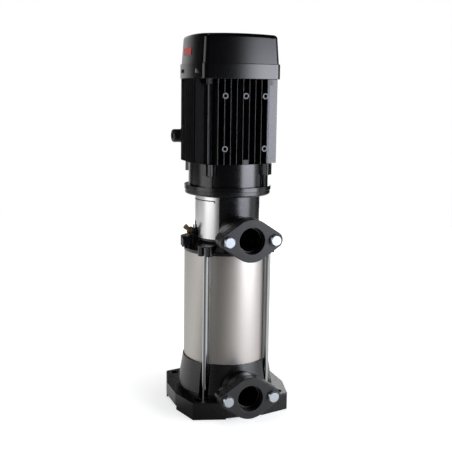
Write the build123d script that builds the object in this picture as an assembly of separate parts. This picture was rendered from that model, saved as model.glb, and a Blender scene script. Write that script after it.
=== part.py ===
# Vertical multistage pump: a cast foot with the suction port, a stainless sleeve round four stages,
# a cast head with the discharge port and the motor stool, and a square finned motor with its fan cover.
# Millimetres, +Z up along the pump axis, both ports face -Y, the origin lies under the foot on the axis.
import math
import os
from build123d import *

# Base casting
FOOT_CORNER = 81.0
FOOT_BULGE = 95.0
FOOT_FLAT = 27.0
FOOT_HEIGHT = 28.0
SIDE_RELIEF = 6.5
FRONT_RELIEF = 2.0
FOOT_RELIEF_HALF = 30.0
FOOT_EDGE_R = 2.5
BASE_BOLT_OFFSET = 69.0
BASE_BOLT_HOLE_R = 6.5
SKIRT_TOP_Z = 80.8
SKIRT_STEP = 2.0
SKIRT_FLARE = 8.0
BASE_CAVITY_WALL = 14.5
BASE_FLOOR_Z = 22.0
SPIGOT_HEIGHT = 8.0
SPIGOT_WALL = 8.0

# Outer sleeve and its seals
SLEEVE_R = 69.5
SLEEVE_WALL = 2.0
SLEEVE_LENGTH = 178.7
SPIGOT_CLEARANCE = 0.1
O_RING_R = 1.5
O_RING_GROOVE_SLACK = 0.05

# Tie rods
TIE_ROD_STANDOFF = 5.2
TIE_ROD_D = 9.0
TIE_ROD_HOLE_CLEARANCE = 0.2
TIE_ROD_THREAD_DEPTH = 14.0
TIE_ROD_POCKET_R = 8.5
TIE_NUT_AF = 15.0
TIE_NUT_HEIGHT = 7.0
TIE_WASHER_R = 8.5
TIE_WASHER_T = 1.6
TIE_NUT_SEAT_Z = 15.0
TIE_ROD_TAIL = 3.0
RECESS_CLEARANCE = 1.0

# Ports
PORT_HOLE_R = 20.95
PORT_BORE_R = 18.0
PORT_NECK_R = 29.0
SUCTION_Z = 42.3
SUCTION_REACH = 28.0
DISCHARGE_Z = 292.2
DISCHARGE_BACKSET = 5.0
COUNTER_FLANGE_T = 12.0
GASKET_T = 1.5
GASKET_BACKSET = 1.0
PORT_FLANGE_T = 13.5
FLANGE_BOLT_OFFSET = 37.5
FLANGE_EAR_R = 13.2
FLANGE_BODY_R = 33.7
FLANGE_EDGE = 1.0
FLANGE_BOLT_R = 5.0
FLANGE_BOLT_AF = 17.0
FLANGE_BOLT_HEAD = 6.4
FLANGE_BOLT_GRIP = 11.0
FLAT_TO_CORNER_DEG = 30.0
BOLT_HOLE_CLEARANCE = 0.4
THREAD_FIT = 0.05

# Stage stack
STACK_CLEARANCE = 0.5
INLET_HEIGHT = 16.0
INLET_HUB_HEIGHT = 8.0
SPRING_WALL = 6.0
SPRING_SLOT = 2.0
SPRING_SLOT_DEG = 90.0
INLET_RIM = 25.0
STAGE_COUNT = 4
STAGE_PITCH = 34.5
CHAMBER_WALL = 2.5
CHAMBER_FLOOR = 2.5
GUIDE_PLATE_T = 2.0
GUIDE_PLATE_GAP = 10.0
GUIDE_PLATE_RISE = 20.0
GUIDE_VANES = 8
GUIDE_VANE_T = 2.0
EYE_R = 22.0
EYE_CLEARANCE = 0.3
IMPELLER_GAP = 19.0
IMPELLER_RISE = 4.0
IMPELLER_HEIGHT = 13.0
IMPELLER_SHROUD = 1.6
IMPELLER_BLADES = 7
IMPELLER_BLADE_T = 1.8
BLADE_SWEEP_SET = 14.0
BLADE_CENTRE_SET = 18.8
BLADE_INSET = 0.4
IMPELLER_HUB_R = 11.5

# Pump shaft
PUMP_SHAFT_R = 7.0
SPACER_R = 10.0
SLIP_FIT = 0.02
BUSH_WALL = 4.0
BEARING_CLEARANCE = 0.05
SHAFT_NUT_AF = 22.0
SHAFT_NUT_HEIGHT = 8.0
SHAFT_TAIL = 3.0
SHAFT_COLLAR_R = 10.5
SHAFT_COLLAR_T = 3.0

# Pump head
HEAD_LIP = 1.3
HEAD_LIP_HEIGHT = 6.5
HEAD_DOME_HEIGHT = 11.0
HEAD_LIP_EDGE_R = 2.0
HEAD_CAVITY_WALL = 13.5
HEAD_CAVITY_STEP = 8.0
HEAD_ROOF_Z = 272.0
HEAD_FLOOR_Z = 280.0
LUG_TOP_Z = 276.0
LUG_REACH = 7.6
LUG_EDGE_R = 4.0
LUG_ROOF = 2.5
LUG_WIDTH = 24.0
LUG_GROOVE = 7.5
LUG_GROOVE_DEPTH = 3.8
STOOL_R = 53.0
STOOL_BORE_R = 42.0
STOOL_FLANGE_T = 8.0
STOOL_FLANGE_EDGE_R = 2.5
STOOL_FOOT = 5.0
STOOL_TOP_Z = 360.5
WINDOW_CENTRE_DEG = 73.0
WINDOW_HALF_DEG = 34.0
WINDOW_BOTTOM_Z = 286.0
WINDOW_TOP_Z = 346.0
GUARD_LAP_DEG = 6.0
GUARD_LAP = 4.0
GUARD_T = 1.2
GUARD_SINK = 0.2
GUARD_SLOT_HEIGHT = 1.6
GUARD_SLOT_DROP = 7.0
GUARD_SLOT_INSET_DEG = 7.0
GUARD_SLOT_HOOK_DEG = 2.0
GUARD_END_GAP_DEG = 0.4
GUARD_EDGE_GAP = 0.2
RISER_Y = -40.0
RISER_R = 11.0
RISER_WALL = 3.5
RISER_DROP = 6.0

# Shaft seal
SEAL_SEAT_R = 16.0
SEAL_SEAT_T = 7.0
SEAL_ROTOR_R = 14.5
SEAL_ROTOR_HEIGHT = 12.0
SEAL_FILM = 0.1
SEAL_HUB_WALL = 6.0
SEAL_PASSAGE_R = 8.2
SEAL_LEAD = 2.0
SEAL_GROOVE_TOP = 4.0
SEAL_GROOVE = 4.0

# Priming plug and vent screw
PLUG_Z = 274.0
PLUG_THREAD_R = 6.5
PLUG_AF = 15.0
PLUG_HEAD = 9.5
PLUG_COLLAR_R = 10.3
PLUG_COLLAR_T = 5.5
PLUG_FACE_X = -62.0
PLUG_DEPTH = 12.0
PLUG_DRILLING_R = 5.0
PLUG_DRILLING_EXTRA = 6.0
PLUG_DOWN_HOLE_R = 4.5
PLUG_DOWN_HOLE_X = -47.0
PLUG_DOWN_HOLE_LEAD = 12.0
PLUG_BOSS_R = 12.5
PLUG_SPOT_MARGIN = 1.0
GUSSET_HEIGHT = 32.0
GUSSET_HALF = 6.0
GUSSET_TURN_DEG = 9.0
GUSSET_FOOT = 7.0
GUSSET_KNEE = 5.0
GUSSET_KNEE_RISE = 14.0
GUSSET_TIP = 0.6
GUSSET_SINK = 4.0
VENT_TILT_DEG = 39.0
VENT_BASE_X = -60.8
VENT_BASE_Z = 290.5
VENT_BOSS_R = 8.0
VENT_BOSS_LENGTH = 24.0
VENT_SEAT_GAP = 1.0
VENT_STEM_R = 4.5
VENT_STEM_LENGTH = 9.0
VENT_DRILLING = 18.0
VENT_AF = 11.0
VENT_HEX_HEIGHT = 6.0
VENT_COLLAR_R = 3.8
VENT_COLLAR_HEIGHT = 2.5
VENT_NEEDLE_R = 1.8
VENT_KNOB_R = 4.2
VENT_KNOB_HEIGHT = 5.0
VENT_KNOB_GAP = 1.5
VENT_FIT = 0.05

# Coupling
COUPLING_R = 21.0
COUPLING_BOTTOM_Z = 298.0
COUPLING_LENGTH = 48.0
COUPLING_SPLIT = 1.5
COUPLING_SCREW_R = 3.0
COUPLING_SCREW_Y = 16.4
COUPLING_SCREW_INSET = 9.0
COUPLING_SCREW_SEAT = 6.5
COUPLING_SCREW_TIP = 10.0
COUPLING_SCREW_HEAD = 5.5
SOCKET_AF = 5.0
SOCKET_DEPTH = 3.0
SHAFT_END_GAP = 2.0

# Motor drive-end shield
BELL_R = 63.8
BELL_FLANGE_STEP = 0.1
BELL_FLANGE_T = 6.5
BELL_TOP_Z = 404.0
BELL_WALL = 5.0
BELL_FLOOR_T = 9.0
BELL_SPIGOT = 4.0
BELL_LUG_HEIGHT = 18.0
BELL_LUG_HALF = 8.5
BELL_RIB_HALF = 5.8
MOTOR_BOLT_OFFSET = 48.3
MOTOR_BOLT_R = 2.7
MOTOR_BOLT_HEAD_R = 4.8
MOTOR_BOLT_HEAD = 4.0
MOTOR_BOLT_KEY_AF = 4.0
FLANGE_SCREW_CIRCLE_R = 47.3
FLANGE_SCREW_R = 3.0
FLANGE_SCREW_DEPTH = 14.0
FLANGE_SCREW_HEAD = 6.0
LUG_SLIT_HALF = 1.6

# Motor frame
FRAME_HALF = 67.2
FRAME_BULGE = 2.0
FIN_TIP_BACKSET = 1.5
FRAME_HEIGHT = 132.0
FRAME_CORE_R = 54.5
FRAME_BORE_R = 49.0
FIN_PITCH = 10.1
FIN_T = 2.6
FINS_PER_SIDE = 9
BOSS_R = 4.9
BOSS_HOLE_R = 2.5
BOSS_HOLE_DEPTH = 10.0
BOSS_BACKSET = 0.8
BOSS_ROOT_Y = 20.0
RIDGE_HALF = 4.5
RIDGE_HEIGHT = 8.0
RIDGE_BACKSET = 0.6
BOSS_COLUMNS = (-28.0, 5.5, 38.0)
BOSS_RISE_LOW = 25.0
BOSS_RISE_HIGH = 106.0

# Stator and rotor
STATOR_MARGIN = 27.0
STATOR_BORE_R = 32.0
STATOR_SLOTS = 12
STATOR_SLOT_R = 3.4
STATOR_SLOT_CIRCLE_R = 40.0
WINDING_OVERHANG = 16.0
WINDING_HALF_WIDTH = 6.0
AIR_GAP = 0.5
MOTOR_SHAFT_R = 12.0
BEARING_SEAT_R = 12.5
ROTOR_SHAFT_R = 15.0
FAN_SEAT_R = 8.0

# Ball bearings
BEARING_OUTER_R = 26.0
BEARING_WIDTH = 15.0
BEARING_PITCH_R = 19.3
BALL_R = 3.9
BALL_PLAY = 0.06
BALL_COUNT = 9
RACE_SPLIT = 2.6

# Motor rear shield
REAR_SHIELD_R = 58.0
REAR_SHIELD_T = 8.0
REAR_SPIGOT = 6.0
REAR_HUB_WALL = 5.0
REAR_LUG_HALF = 6.5
REAR_LUG_DROP = 9.0
COVER_ARM_WIDTH = 12.0

# Fan and fan cover
COVER_BACKSET = 3.0
COVER_BULGE = 2.6
COVER_CORNER_R = 10.0
COVER_WALL = 2.4
BAND_HEIGHT = 23.0
HOOD_INSET = 1.8
HOOD_TAPER = 2.9
HOOD_HEIGHT = 47.4
HOOD_DROP = 3.2
HOOD_EDGE_R = 6.0
GRILLE_SLOTS = 20
GRILLE_SLOT_HALF = 1.9
GRILLE_INNER_R = 14.0
GRILLE_RIM = 18.0
COVER_SCREW_Y = 40.0
COVER_SCREW_R = 2.0
COVER_SCREW_HEAD_R = 3.25
COVER_SCREW_HEAD = 2.0
COVER_SCREW_LENGTH = 9.0
FAN_GAP = 12.2
FAN_HUB_R = 15.0
FAN_HUB_HEIGHT = 20.0
FAN_DISC_T = 2.0
FAN_BLADES = 7
FAN_BLADE_T = 2.0
FAN_BLADE_HEIGHT = 22.0
BADGE_WIDTH = 45.0
BADGE_HEIGHT = 11.0
BADGE_Y = 19.5
BADGE_RISE = 42.5
BADGE_T = 0.7
BADGE_ZONE = 12.0

# Terminal box and cable gland
TERMINAL_HALF_X = 45.0
TERMINAL_HALF_Z = 30.0
TERMINAL_RISE = 37.0
TERMINAL_PAD_STEP = 0.8
TERMINAL_PAD_HALF_X = 28.0
TERMINAL_PAD_HALF_Z = 22.0
TERMINAL_DEPTH = 34.0
TERMINAL_WALL = 3.0
TERMINAL_LID_T = 5.0
TERMINAL_CORNER_R = 6.0
TERMINAL_SCREW_INSET = 6.0
TERMINAL_SCREW_R = 2.0
TERMINAL_SCREW_HEAD_R = 3.6
TERMINAL_SCREW_HEAD = 2.2
TERMINAL_SCREW_LENGTH = 18.0
GLAND_THREAD_R = 10.0
GLAND_AF = 24.0
GLAND_BODY_LENGTH = 8.0
GLAND_NECK_LENGTH = 8.0
GLAND_NUT_LENGTH = 16.0
GLAND_NUT_R = 11.0
GLAND_CABLE_R = 5.0
GLAND_DEPTH_Y = 17.0
GLAND_NUT_GAP = 1.0
WIRE_HOLE_R = 8.0
TERMINAL_STRIP_HALF = 16.0
TERMINAL_STRIP_DEPTH = 9.0
TERMINAL_STRIP_HEIGHT = 11.0
TERMINAL_STRIP_DROP = 20.0
TERMINAL_STUD_R = 2.0
TERMINAL_STUD_PITCH = 11.0

# Drain plug
DRAIN_BOSS_R = 13.0
DRAIN_BOSS_STEP = 8.5
DRAIN_THREAD_R = 6.5
DRAIN_DEPTH = 12.0
DRAIN_AF = 17.0
DRAIN_HEAD = 8.0

# Heights and radii that follow from the values above
SLEEVE_BORE_R = SLEEVE_R - SLEEVE_WALL
SKIRT_TOP_R = SLEEVE_R + SKIRT_STEP
SKIRT_FOOT_R = SKIRT_TOP_R + SKIRT_FLARE
BASE_CAVITY_R = SLEEVE_R - BASE_CAVITY_WALL
TIE_ROD_CIRCLE_R = SLEEVE_R + TIE_ROD_STANDOFF
HEAD_LIP_R = SLEEVE_R + HEAD_LIP
STOOL_FLANGE_R = SLEEVE_R
BELL_FLANGE_R = HEAD_LIP_R - BELL_FLANGE_STEP
HEAD_CAVITY_R = SLEEVE_R - HEAD_CAVITY_WALL
LUG_REACH_R = TIE_ROD_CIRCLE_R + LUG_REACH
SUCTION_FACE_Y = -FOOT_BULGE - SUCTION_REACH
DISCHARGE_FACE_Y = SUCTION_FACE_Y + DISCHARGE_BACKSET
DRAIN_BOSS_Y = SKIRT_FOOT_R + DRAIN_BOSS_STEP
STACK_R = SLEEVE_BORE_R - STACK_CLEARANCE
INLET_OPENING_R = STACK_R - INLET_RIM
GUIDE_PLATE_R = STACK_R - GUIDE_PLATE_GAP
IMPELLER_R = STACK_R - IMPELLER_GAP
BLADE_SWEEP_R = IMPELLER_R - BLADE_SWEEP_SET
BLADE_CENTRE_R = IMPELLER_R - BLADE_CENTRE_SET
SPIGOT_R = SLEEVE_BORE_R - SPIGOT_CLEARANCE
SLEEVE_TOP_Z = SKIRT_TOP_Z + SLEEVE_LENGTH
STACK_BOTTOM_Z = SKIRT_TOP_Z + SPIGOT_HEIGHT
FIRST_STAGE_Z = STACK_BOTTOM_Z + INLET_HEIGHT
STACK_TOP_Z = FIRST_STAGE_Z + STAGE_COUNT * STAGE_PITCH
HEAD_SPIGOT_Z = SLEEVE_TOP_Z - SPIGOT_HEIGHT
DOME_TOP_Z = SLEEVE_TOP_Z + HEAD_LIP_HEIGHT + HEAD_DOME_HEIGHT
TIE_OFFSET = TIE_ROD_CIRCLE_R / math.sqrt(2)
TIE_ROD_R = TIE_ROD_D / 2
TIE_NUT_TOP_Z = TIE_NUT_SEAT_Z - TIE_WASHER_T
TIE_ROD_BOTTOM_Z = TIE_NUT_TOP_Z - TIE_NUT_HEIGHT - TIE_ROD_TAIL
TIE_ROD_TOP_Z = SLEEVE_TOP_Z + TIE_ROD_THREAD_DEPTH
CORNERS = [(-1, -1), (1, -1), (1, 1), (-1, 1)]
BUSH_BORE_R = SPACER_R + BEARING_CLEARANCE
BUSH_R = BUSH_BORE_R + BUSH_WALL
SEAL_FACE_Z = HEAD_FLOOR_Z - SEAL_SEAT_T - SEAL_LEAD
IMPELLER_NECK_R = EYE_R - EYE_CLEARANCE
LAST_IMPELLER_TOP_Z = FIRST_STAGE_Z + (STAGE_COUNT - 1) * STAGE_PITCH + IMPELLER_RISE + IMPELLER_HEIGHT
COLLAR_Z = LAST_IMPELLER_TOP_Z + STAGE_PITCH - IMPELLER_HEIGHT
SHAFT_NUT_Z = STACK_BOTTOM_Z - 4 - SHAFT_NUT_HEIGHT
PUMP_SHAFT_TOP_Z = COUPLING_BOTTOM_Z + COUPLING_LENGTH / 2 - SHAFT_END_GAP / 2
MOTOR_SHAFT_BOTTOM_Z = PUMP_SHAFT_TOP_Z + SHAFT_END_GAP
COUPLING_TOP_Z = COUPLING_BOTTOM_Z + COUPLING_LENGTH
BELL_FLOOR_TOP_Z = STOOL_TOP_Z + BELL_FLOOR_T
DE_BEARING_Z = BELL_FLOOR_TOP_Z + 8
FRAME_TOP_Z = BELL_TOP_Z + FRAME_HEIGHT
NDE_BEARING_Z = FRAME_TOP_Z - 4
FRAME_MID = FRAME_HALF + FRAME_BULGE
STATOR_Z = BELL_TOP_Z + STATOR_MARGIN
STATOR_HEIGHT = FRAME_HEIGHT - STATOR_MARGIN * 2
COVER_HALF = FRAME_HALF - COVER_BACKSET
FAN_R = COVER_HALF - FAN_GAP
GRILLE_OUTER_R = COVER_HALF - GRILLE_RIM
TERMINAL_PAD_Y = FRAME_MID + TERMINAL_PAD_STEP
BAND_TOP_Z = FRAME_TOP_Z + BAND_HEIGHT
HOOD_TOP_Z = BAND_TOP_Z + HOOD_HEIGHT
SHIELD_TOP_Z = FRAME_TOP_Z + REAR_SHIELD_T
FAN_Z = NDE_BEARING_Z + BEARING_WIDTH + 8
COVER_SCREW_Z = FRAME_TOP_Z + BAND_HEIGHT / 2
NOTCH = (FINS_PER_SIDE - 1) / 2 * FIN_PITCH + FIN_T / 2
TERMINAL_Z = BELL_TOP_Z + TERMINAL_RISE
TERMINAL_FACE_Y = TERMINAL_PAD_Y + TERMINAL_DEPTH
GLAND_Y = TERMINAL_PAD_Y + GLAND_DEPTH_Y
BADGE_Z = FRAME_TOP_Z + BADGE_RISE
GUARD_R = STOOL_R - GUARD_SINK
GUARD_BOTTOM_Z = WINDOW_BOTTOM_Z - GUARD_LAP
GUARD_TOP_Z = WINDOW_TOP_Z + GUARD_LAP


def cyl(r, z0, z1, x=0.0, y=0.0):
    return Pos(x, y, z0) * Cylinder(r, z1 - z0, align=(Align.CENTER, Align.CENTER, Align.MIN))


def ring(outer, inner, z0, z1, x=0.0, y=0.0):
    return cyl(outer, z0, z1, x, y) - cyl(inner, z0 - 1, z1 + 1, x, y)


def block(x0, x1, y0, y1, z0, z1):
    return Pos((x0 + x1) / 2, (y0 + y1) / 2, (z0 + z1) / 2) * Box(x1 - x0, y1 - y0, z1 - z0)


def hexagon(across_flats, z0, z1, x=0.0, y=0.0, turn=0.0):
    face = RegularPolygon(across_flats / 2, 6, major_radius=False, rotation=turn)
    return extrude(Pos(x, y, z0) * face, amount=z1 - z0)


def prism(points, z0, z1):
    face = make_face(Polyline(*points, close=True))
    return extrude(Pos(0, 0, z0) * face, amount=z1 - z0)


def slab(points, y0, y1):
    face = make_face(Polyline(*[(x, y0, z) for x, z in points], close=True))
    return extrude(face, amount=y1 - y0, dir=(0, 1, 0))


def turned(points):
    return revolve(make_face(Polyline(*[(x, 0, z) for x, z in points], close=True)), Axis.Z)


def along(solid, origin, direction):
    # A solid drawn along its own +Z from zero is stood on origin and pointed along direction.
    return Plane(origin=origin, z_dir=direction).location * solid


def four_corners(solid):
    # The solid is drawn at the -X -Y corner and repeated at the other three.
    return [Rot(0, 0, 90 * k) * solid for k in range(4)]


def bearing_point(r, degrees):
    # Degrees run from the port side, -Y, towards -X.
    a = math.radians(degrees)
    return (-r * math.sin(a), -r * math.cos(a))


def wedge(r, z0, z1, start, stop):
    steps = max(2, math.ceil((stop - start) / 30))
    rim = [bearing_point(r, start + (stop - start) * k / steps) for k in range(steps + 1)]
    return prism([(0.0, 0.0)] + rim, z0, z1)


def sector(outer, inner, z0, z1, start, stop):
    return ring(outer, inner, z0, z1) & wedge(outer * 2, z0 - 1, z1 + 1, start, stop)


def oval(thickness, edge=0.0):
    # Oval port flange: a round body with two bolt ears, joined by straight tangents, drawn along +Z.
    spread = math.acos((FLANGE_BODY_R - FLANGE_EAR_R) / FLANGE_BOLT_OFFSET)
    c = math.cos(spread)
    s = math.sin(spread)
    body = (FLANGE_BODY_R * c, FLANGE_BODY_R * s)
    ear = (FLANGE_BOLT_OFFSET + FLANGE_EAR_R * c, FLANGE_EAR_R * s)
    points = [body, ear, (ear[0], -ear[1]), (body[0], -body[1])]
    points += [(-x, -y) for x, y in points]
    plate = prism(points, 0, thickness) + cyl(FLANGE_BODY_R, 0, thickness)
    for side in (-1, 1):
        plate = plate + cyl(FLANGE_EAR_R, 0, thickness, side * FLANGE_BOLT_OFFSET)
    if edge > 0:
        plate = chamfer(plate.faces().sort_by(Axis.Z)[-1].outer_wire().edges(), edge)
    return plate


def port_place(solid, z, y):
    # A solid drawn along +Z is laid along -Y, starting at y, with its own X kept along X.
    return Plane(origin=(0, y, z), x_dir=(1, 0, 0), z_dir=(0, -1, 0)).location * solid


def bolt_pair(r, length):
    return [cyl(r, 0, length, side * FLANGE_BOLT_OFFSET) for side in (-1, 1)]


def one(shape):
    # The single solid of a piece that is made in one casting, pressing or bar.
    solids = shape.solids()
    assert len(solids) == 1, len(solids)
    return solids[0]


parts = {}


# Base casting
# Foot with four bolt holes and a relieved underside, conical skirt with a pocket for each tie rod,
# suction neck and flange, and a spigot that carries the sleeve and the stage stack.
def foot_outline():
    points = []
    for k in range(4):
        a = math.radians(90 * k)
        for x, y in ((-FOOT_CORNER, -FOOT_CORNER), (-FOOT_FLAT, -FOOT_BULGE), (FOOT_FLAT, -FOOT_BULGE)):
            points.append((x * math.cos(a) - y * math.sin(a), x * math.sin(a) + y * math.cos(a)))
    return points


foot = prism(foot_outline(), 0, FOOT_HEIGHT)
foot = fillet(foot.edges().filter_by(Axis.Z), FOOT_EDGE_R)
foot = fillet(foot.faces().sort_by(Axis.Z)[-1].outer_wire().edges(), FOOT_EDGE_R / 2)
reach = FOOT_BULGE + 5
foot -= block(-FOOT_RELIEF_HALF, FOOT_RELIEF_HALF, -reach, reach, -1, FRONT_RELIEF)
foot -= block(-reach, reach, -FOOT_RELIEF_HALF, FOOT_RELIEF_HALF, -1, SIDE_RELIEF)
skirt = turned([(0, FOOT_HEIGHT - 1), (SKIRT_FOOT_R, FOOT_HEIGHT - 1), (SKIRT_FOOT_R, FOOT_HEIGHT + 3),
                (SKIRT_TOP_R, SKIRT_TOP_Z), (0, SKIRT_TOP_Z)])
for sx, sy in CORNERS:
    skirt -= cyl(TIE_ROD_POCKET_R, FOOT_HEIGHT, SKIRT_TOP_Z + 1, sx * TIE_OFFSET, sy * TIE_OFFSET)
    opening = block(TIE_ROD_CIRCLE_R, TIE_ROD_CIRCLE_R * 2, -TIE_ROD_POCKET_R, TIE_ROD_POCKET_R,
                    FOOT_HEIGHT, SKIRT_TOP_Z + 1)
    skirt -= Rot(0, 0, math.degrees(math.atan2(sy, sx))) * opening
suction_back_y = SUCTION_FACE_Y + COUNTER_FLANGE_T + GASKET_T
base = foot + skirt
base += cyl(SPIGOT_R, SKIRT_TOP_Z - 1, STACK_BOTTOM_Z)
base += port_place(cyl(PORT_NECK_R, 0, -suction_back_y), SUCTION_Z, 0) & block(
    -reach, reach, suction_back_y, 0, SIDE_RELIEF, SKIRT_TOP_Z)
base += port_place(oval(PORT_FLANGE_T), SUCTION_Z, suction_back_y + PORT_FLANGE_T)
base += along(cyl(DRAIN_BOSS_R, 0, DRAIN_BOSS_Y), (0, 0, SUCTION_Z), (0, 1, 0))
base -= cyl(BASE_CAVITY_R, BASE_FLOOR_Z, SKIRT_TOP_Z)
base -= cyl(SPIGOT_R - SPIGOT_WALL, SKIRT_TOP_Z - 1, STACK_BOTTOM_Z + 1)
base -= port_place(cyl(PORT_BORE_R, 0, -suction_back_y + 1), SUCTION_Z, 0)
for hole in bolt_pair(FLANGE_BOLT_R + THREAD_FIT, PORT_FLANGE_T + 2):
    base -= port_place(hole, SUCTION_Z, suction_back_y + PORT_FLANGE_T + 1)
base -= along(cyl(DRAIN_THREAD_R + THREAD_FIT, 0, DRAIN_BOSS_Y + 1), (0, 0, SUCTION_Z), (0, 1, 0))
for sx, sy in CORNERS:
    base -= cyl(BASE_BOLT_HOLE_R, -1, FOOT_HEIGHT + 1, sx * BASE_BOLT_OFFSET, sy * BASE_BOLT_OFFSET)
    base -= cyl(TIE_ROD_R + TIE_ROD_HOLE_CLEARANCE, -1, FOOT_HEIGHT + 1, sx * TIE_OFFSET, sy * TIE_OFFSET)
    base -= cyl(TIE_WASHER_R + RECESS_CLEARANCE, -1, TIE_NUT_SEAT_Z, sx * TIE_OFFSET, sy * TIE_OFFSET)
seal_pitch_r = SLEEVE_BORE_R - O_RING_R - O_RING_GROOVE_SLACK
groove_r = seal_pitch_r - O_RING_R - O_RING_GROOVE_SLACK
groove_half = O_RING_R + O_RING_GROOVE_SLACK
LOWER_SEAL_Z = SKIRT_TOP_Z + SPIGOT_HEIGHT / 2
UPPER_SEAL_Z = SLEEVE_TOP_Z - SPIGOT_HEIGHT / 2
base -= ring(SPIGOT_R + 1, groove_r, LOWER_SEAL_Z - groove_half, LOWER_SEAL_Z + groove_half)
parts["base_casting"] = one(base)

drain = cyl(DRAIN_THREAD_R, DRAIN_BOSS_Y - DRAIN_DEPTH, DRAIN_BOSS_Y)
drain += hexagon(DRAIN_AF, DRAIN_BOSS_Y, DRAIN_BOSS_Y + DRAIN_HEAD)
parts["drain_plug"] = one(along(drain, (0, 0, SUCTION_Z), (0, 1, 0)))


# Port gaskets, counter flanges and their bolts
# A flat gasket and a loose threaded oval flange on each port, held by two hexagon bolts.
def counter_flange(z, face_y):
    plate = oval(COUNTER_FLANGE_T, FLANGE_EDGE)
    plate -= cyl(PORT_HOLE_R, -1, COUNTER_FLANGE_T + 1)
    for hole in bolt_pair(FLANGE_BOLT_R + BOLT_HOLE_CLEARANCE, COUNTER_FLANGE_T + 1):
        plate -= Pos(0, 0, -0.5) * hole
    return one(port_place(plate, z, face_y + COUNTER_FLANGE_T))


def gasket(z, face_y):
    sheet = oval(GASKET_T)
    sheet -= cyl(PORT_HOLE_R + GASKET_BACKSET, -1, GASKET_T + 1)
    for hole in bolt_pair(FLANGE_BOLT_R + BOLT_HOLE_CLEARANCE, GASKET_T + 1):
        sheet -= Pos(0, 0, -0.5) * hole
    return one(port_place(sheet, z, face_y + COUNTER_FLANGE_T + GASKET_T))


def flange_bolts(z, face_y):
    shank = COUNTER_FLANGE_T + GASKET_T + FLANGE_BOLT_GRIP
    bolts = []
    for side in (-1, 1):
        bolt = cyl(FLANGE_BOLT_R, 0, shank, side * FLANGE_BOLT_OFFSET)
        head = hexagon(FLANGE_BOLT_AF, shank, shank + FLANGE_BOLT_HEAD, side * FLANGE_BOLT_OFFSET, 0,
                       FLAT_TO_CORNER_DEG)
        cap = along(Cone(FLANGE_BOLT_AF * 0.72, FLANGE_BOLT_AF * 0.44, FLANGE_BOLT_HEAD * 1.2,
                         align=(Align.CENTER, Align.CENTER, Align.MAX)),
                    (side * FLANGE_BOLT_OFFSET, 0, shank + FLANGE_BOLT_HEAD), (0, 0, 1))
        bolts.append(one(port_place(bolt + (head & cap), z, face_y + shank)))
    return bolts


parts["suction_counter_flange"] = counter_flange(SUCTION_Z, SUCTION_FACE_Y)
parts["discharge_counter_flange"] = counter_flange(DISCHARGE_Z, DISCHARGE_FACE_Y)
parts["port_gaskets"] = [gasket(SUCTION_Z, SUCTION_FACE_Y), gasket(DISCHARGE_Z, DISCHARGE_FACE_Y)]
parts["port_flange_bolts"] = (flange_bolts(SUCTION_Z, SUCTION_FACE_Y)
                              + flange_bolts(DISCHARGE_Z, DISCHARGE_FACE_Y))


# Outer sleeve and its two seals
# A plain stainless tube slipped over the spigots of base and head.
parts["outer_sleeve"] = one(ring(SLEEVE_R, SLEEVE_BORE_R, SKIRT_TOP_Z, SLEEVE_TOP_Z))
parts["sleeve_seals"] = [Pos(0, 0, z) * Torus(seal_pitch_r, O_RING_R) for z in (LOWER_SEAL_Z, UPPER_SEAL_Z)]


# Tie rods
# Four plain rods draw the head down on the sleeve: threaded up into the head's lugs, nuts under the foot.
rods = []
nuts = []
washers = []
for sx, sy in CORNERS:
    x = sx * TIE_OFFSET
    y = sy * TIE_OFFSET
    rods.append(cyl(TIE_ROD_R, TIE_ROD_BOTTOM_Z, TIE_ROD_TOP_Z, x, y))
    nut = hexagon(TIE_NUT_AF, TIE_NUT_TOP_Z - TIE_NUT_HEIGHT, TIE_NUT_TOP_Z, x, y)
    nuts.append(nut - cyl(TIE_ROD_R + SLIP_FIT, 0, TIE_NUT_SEAT_Z, x, y))
    washers.append(ring(TIE_WASHER_R, TIE_ROD_R + TIE_ROD_HOLE_CLEARANCE, TIE_NUT_TOP_Z, TIE_NUT_SEAT_Z, x, y))
parts["tie_rods"] = rods
parts["tie_rod_nuts"] = nuts
parts["tie_rod_washers"] = washers


# Stage stack
# Inlet spider with the lower bush, four identical chambers, and a spring ring under the head.
inlet = ring(STACK_R, INLET_OPENING_R, STACK_BOTTOM_Z, FIRST_STAGE_Z)
inlet += cyl(BUSH_R + 4, STACK_BOTTOM_Z, STACK_BOTTOM_Z + INLET_HUB_HEIGHT)
for turn in (0, 60, 120):
    arm = block(-INLET_OPENING_R - 2, INLET_OPENING_R + 2, -3, 3,
                STACK_BOTTOM_Z, STACK_BOTTOM_Z + INLET_HUB_HEIGHT)
    inlet += Rot(0, 0, turn) * arm
inlet -= cyl(BUSH_R + SLIP_FIT, STACK_BOTTOM_Z - 1, FIRST_STAGE_Z)
parts["inlet_spider"] = one(inlet)
parts["lower_bush"] = one(ring(BUSH_R, BUSH_BORE_R, STACK_BOTTOM_Z, STACK_BOTTOM_Z + INLET_HUB_HEIGHT))


def chamber():
    # Drawn with its floor at zero; the guide vanes reach up to the floor of the chamber above.
    body = ring(STACK_R, STACK_R - CHAMBER_WALL, 0, STAGE_PITCH)
    body += ring(STACK_R - 0.5, EYE_R, 0, CHAMBER_FLOOR)
    body += ring(GUIDE_PLATE_R, SPACER_R + EYE_CLEARANCE, GUIDE_PLATE_RISE, GUIDE_PLATE_RISE + GUIDE_PLATE_T)
    vane = block(EYE_R + 3, STACK_R - CHAMBER_WALL * 0.6, -GUIDE_VANE_T / 2, GUIDE_VANE_T / 2,
                 GUIDE_PLATE_RISE + GUIDE_PLATE_T / 2, STAGE_PITCH)
    vanes = [Rot(0, 0, 360 / GUIDE_VANES * k) * vane for k in range(GUIDE_VANES)]
    return one(body.fuse(*vanes))


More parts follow.
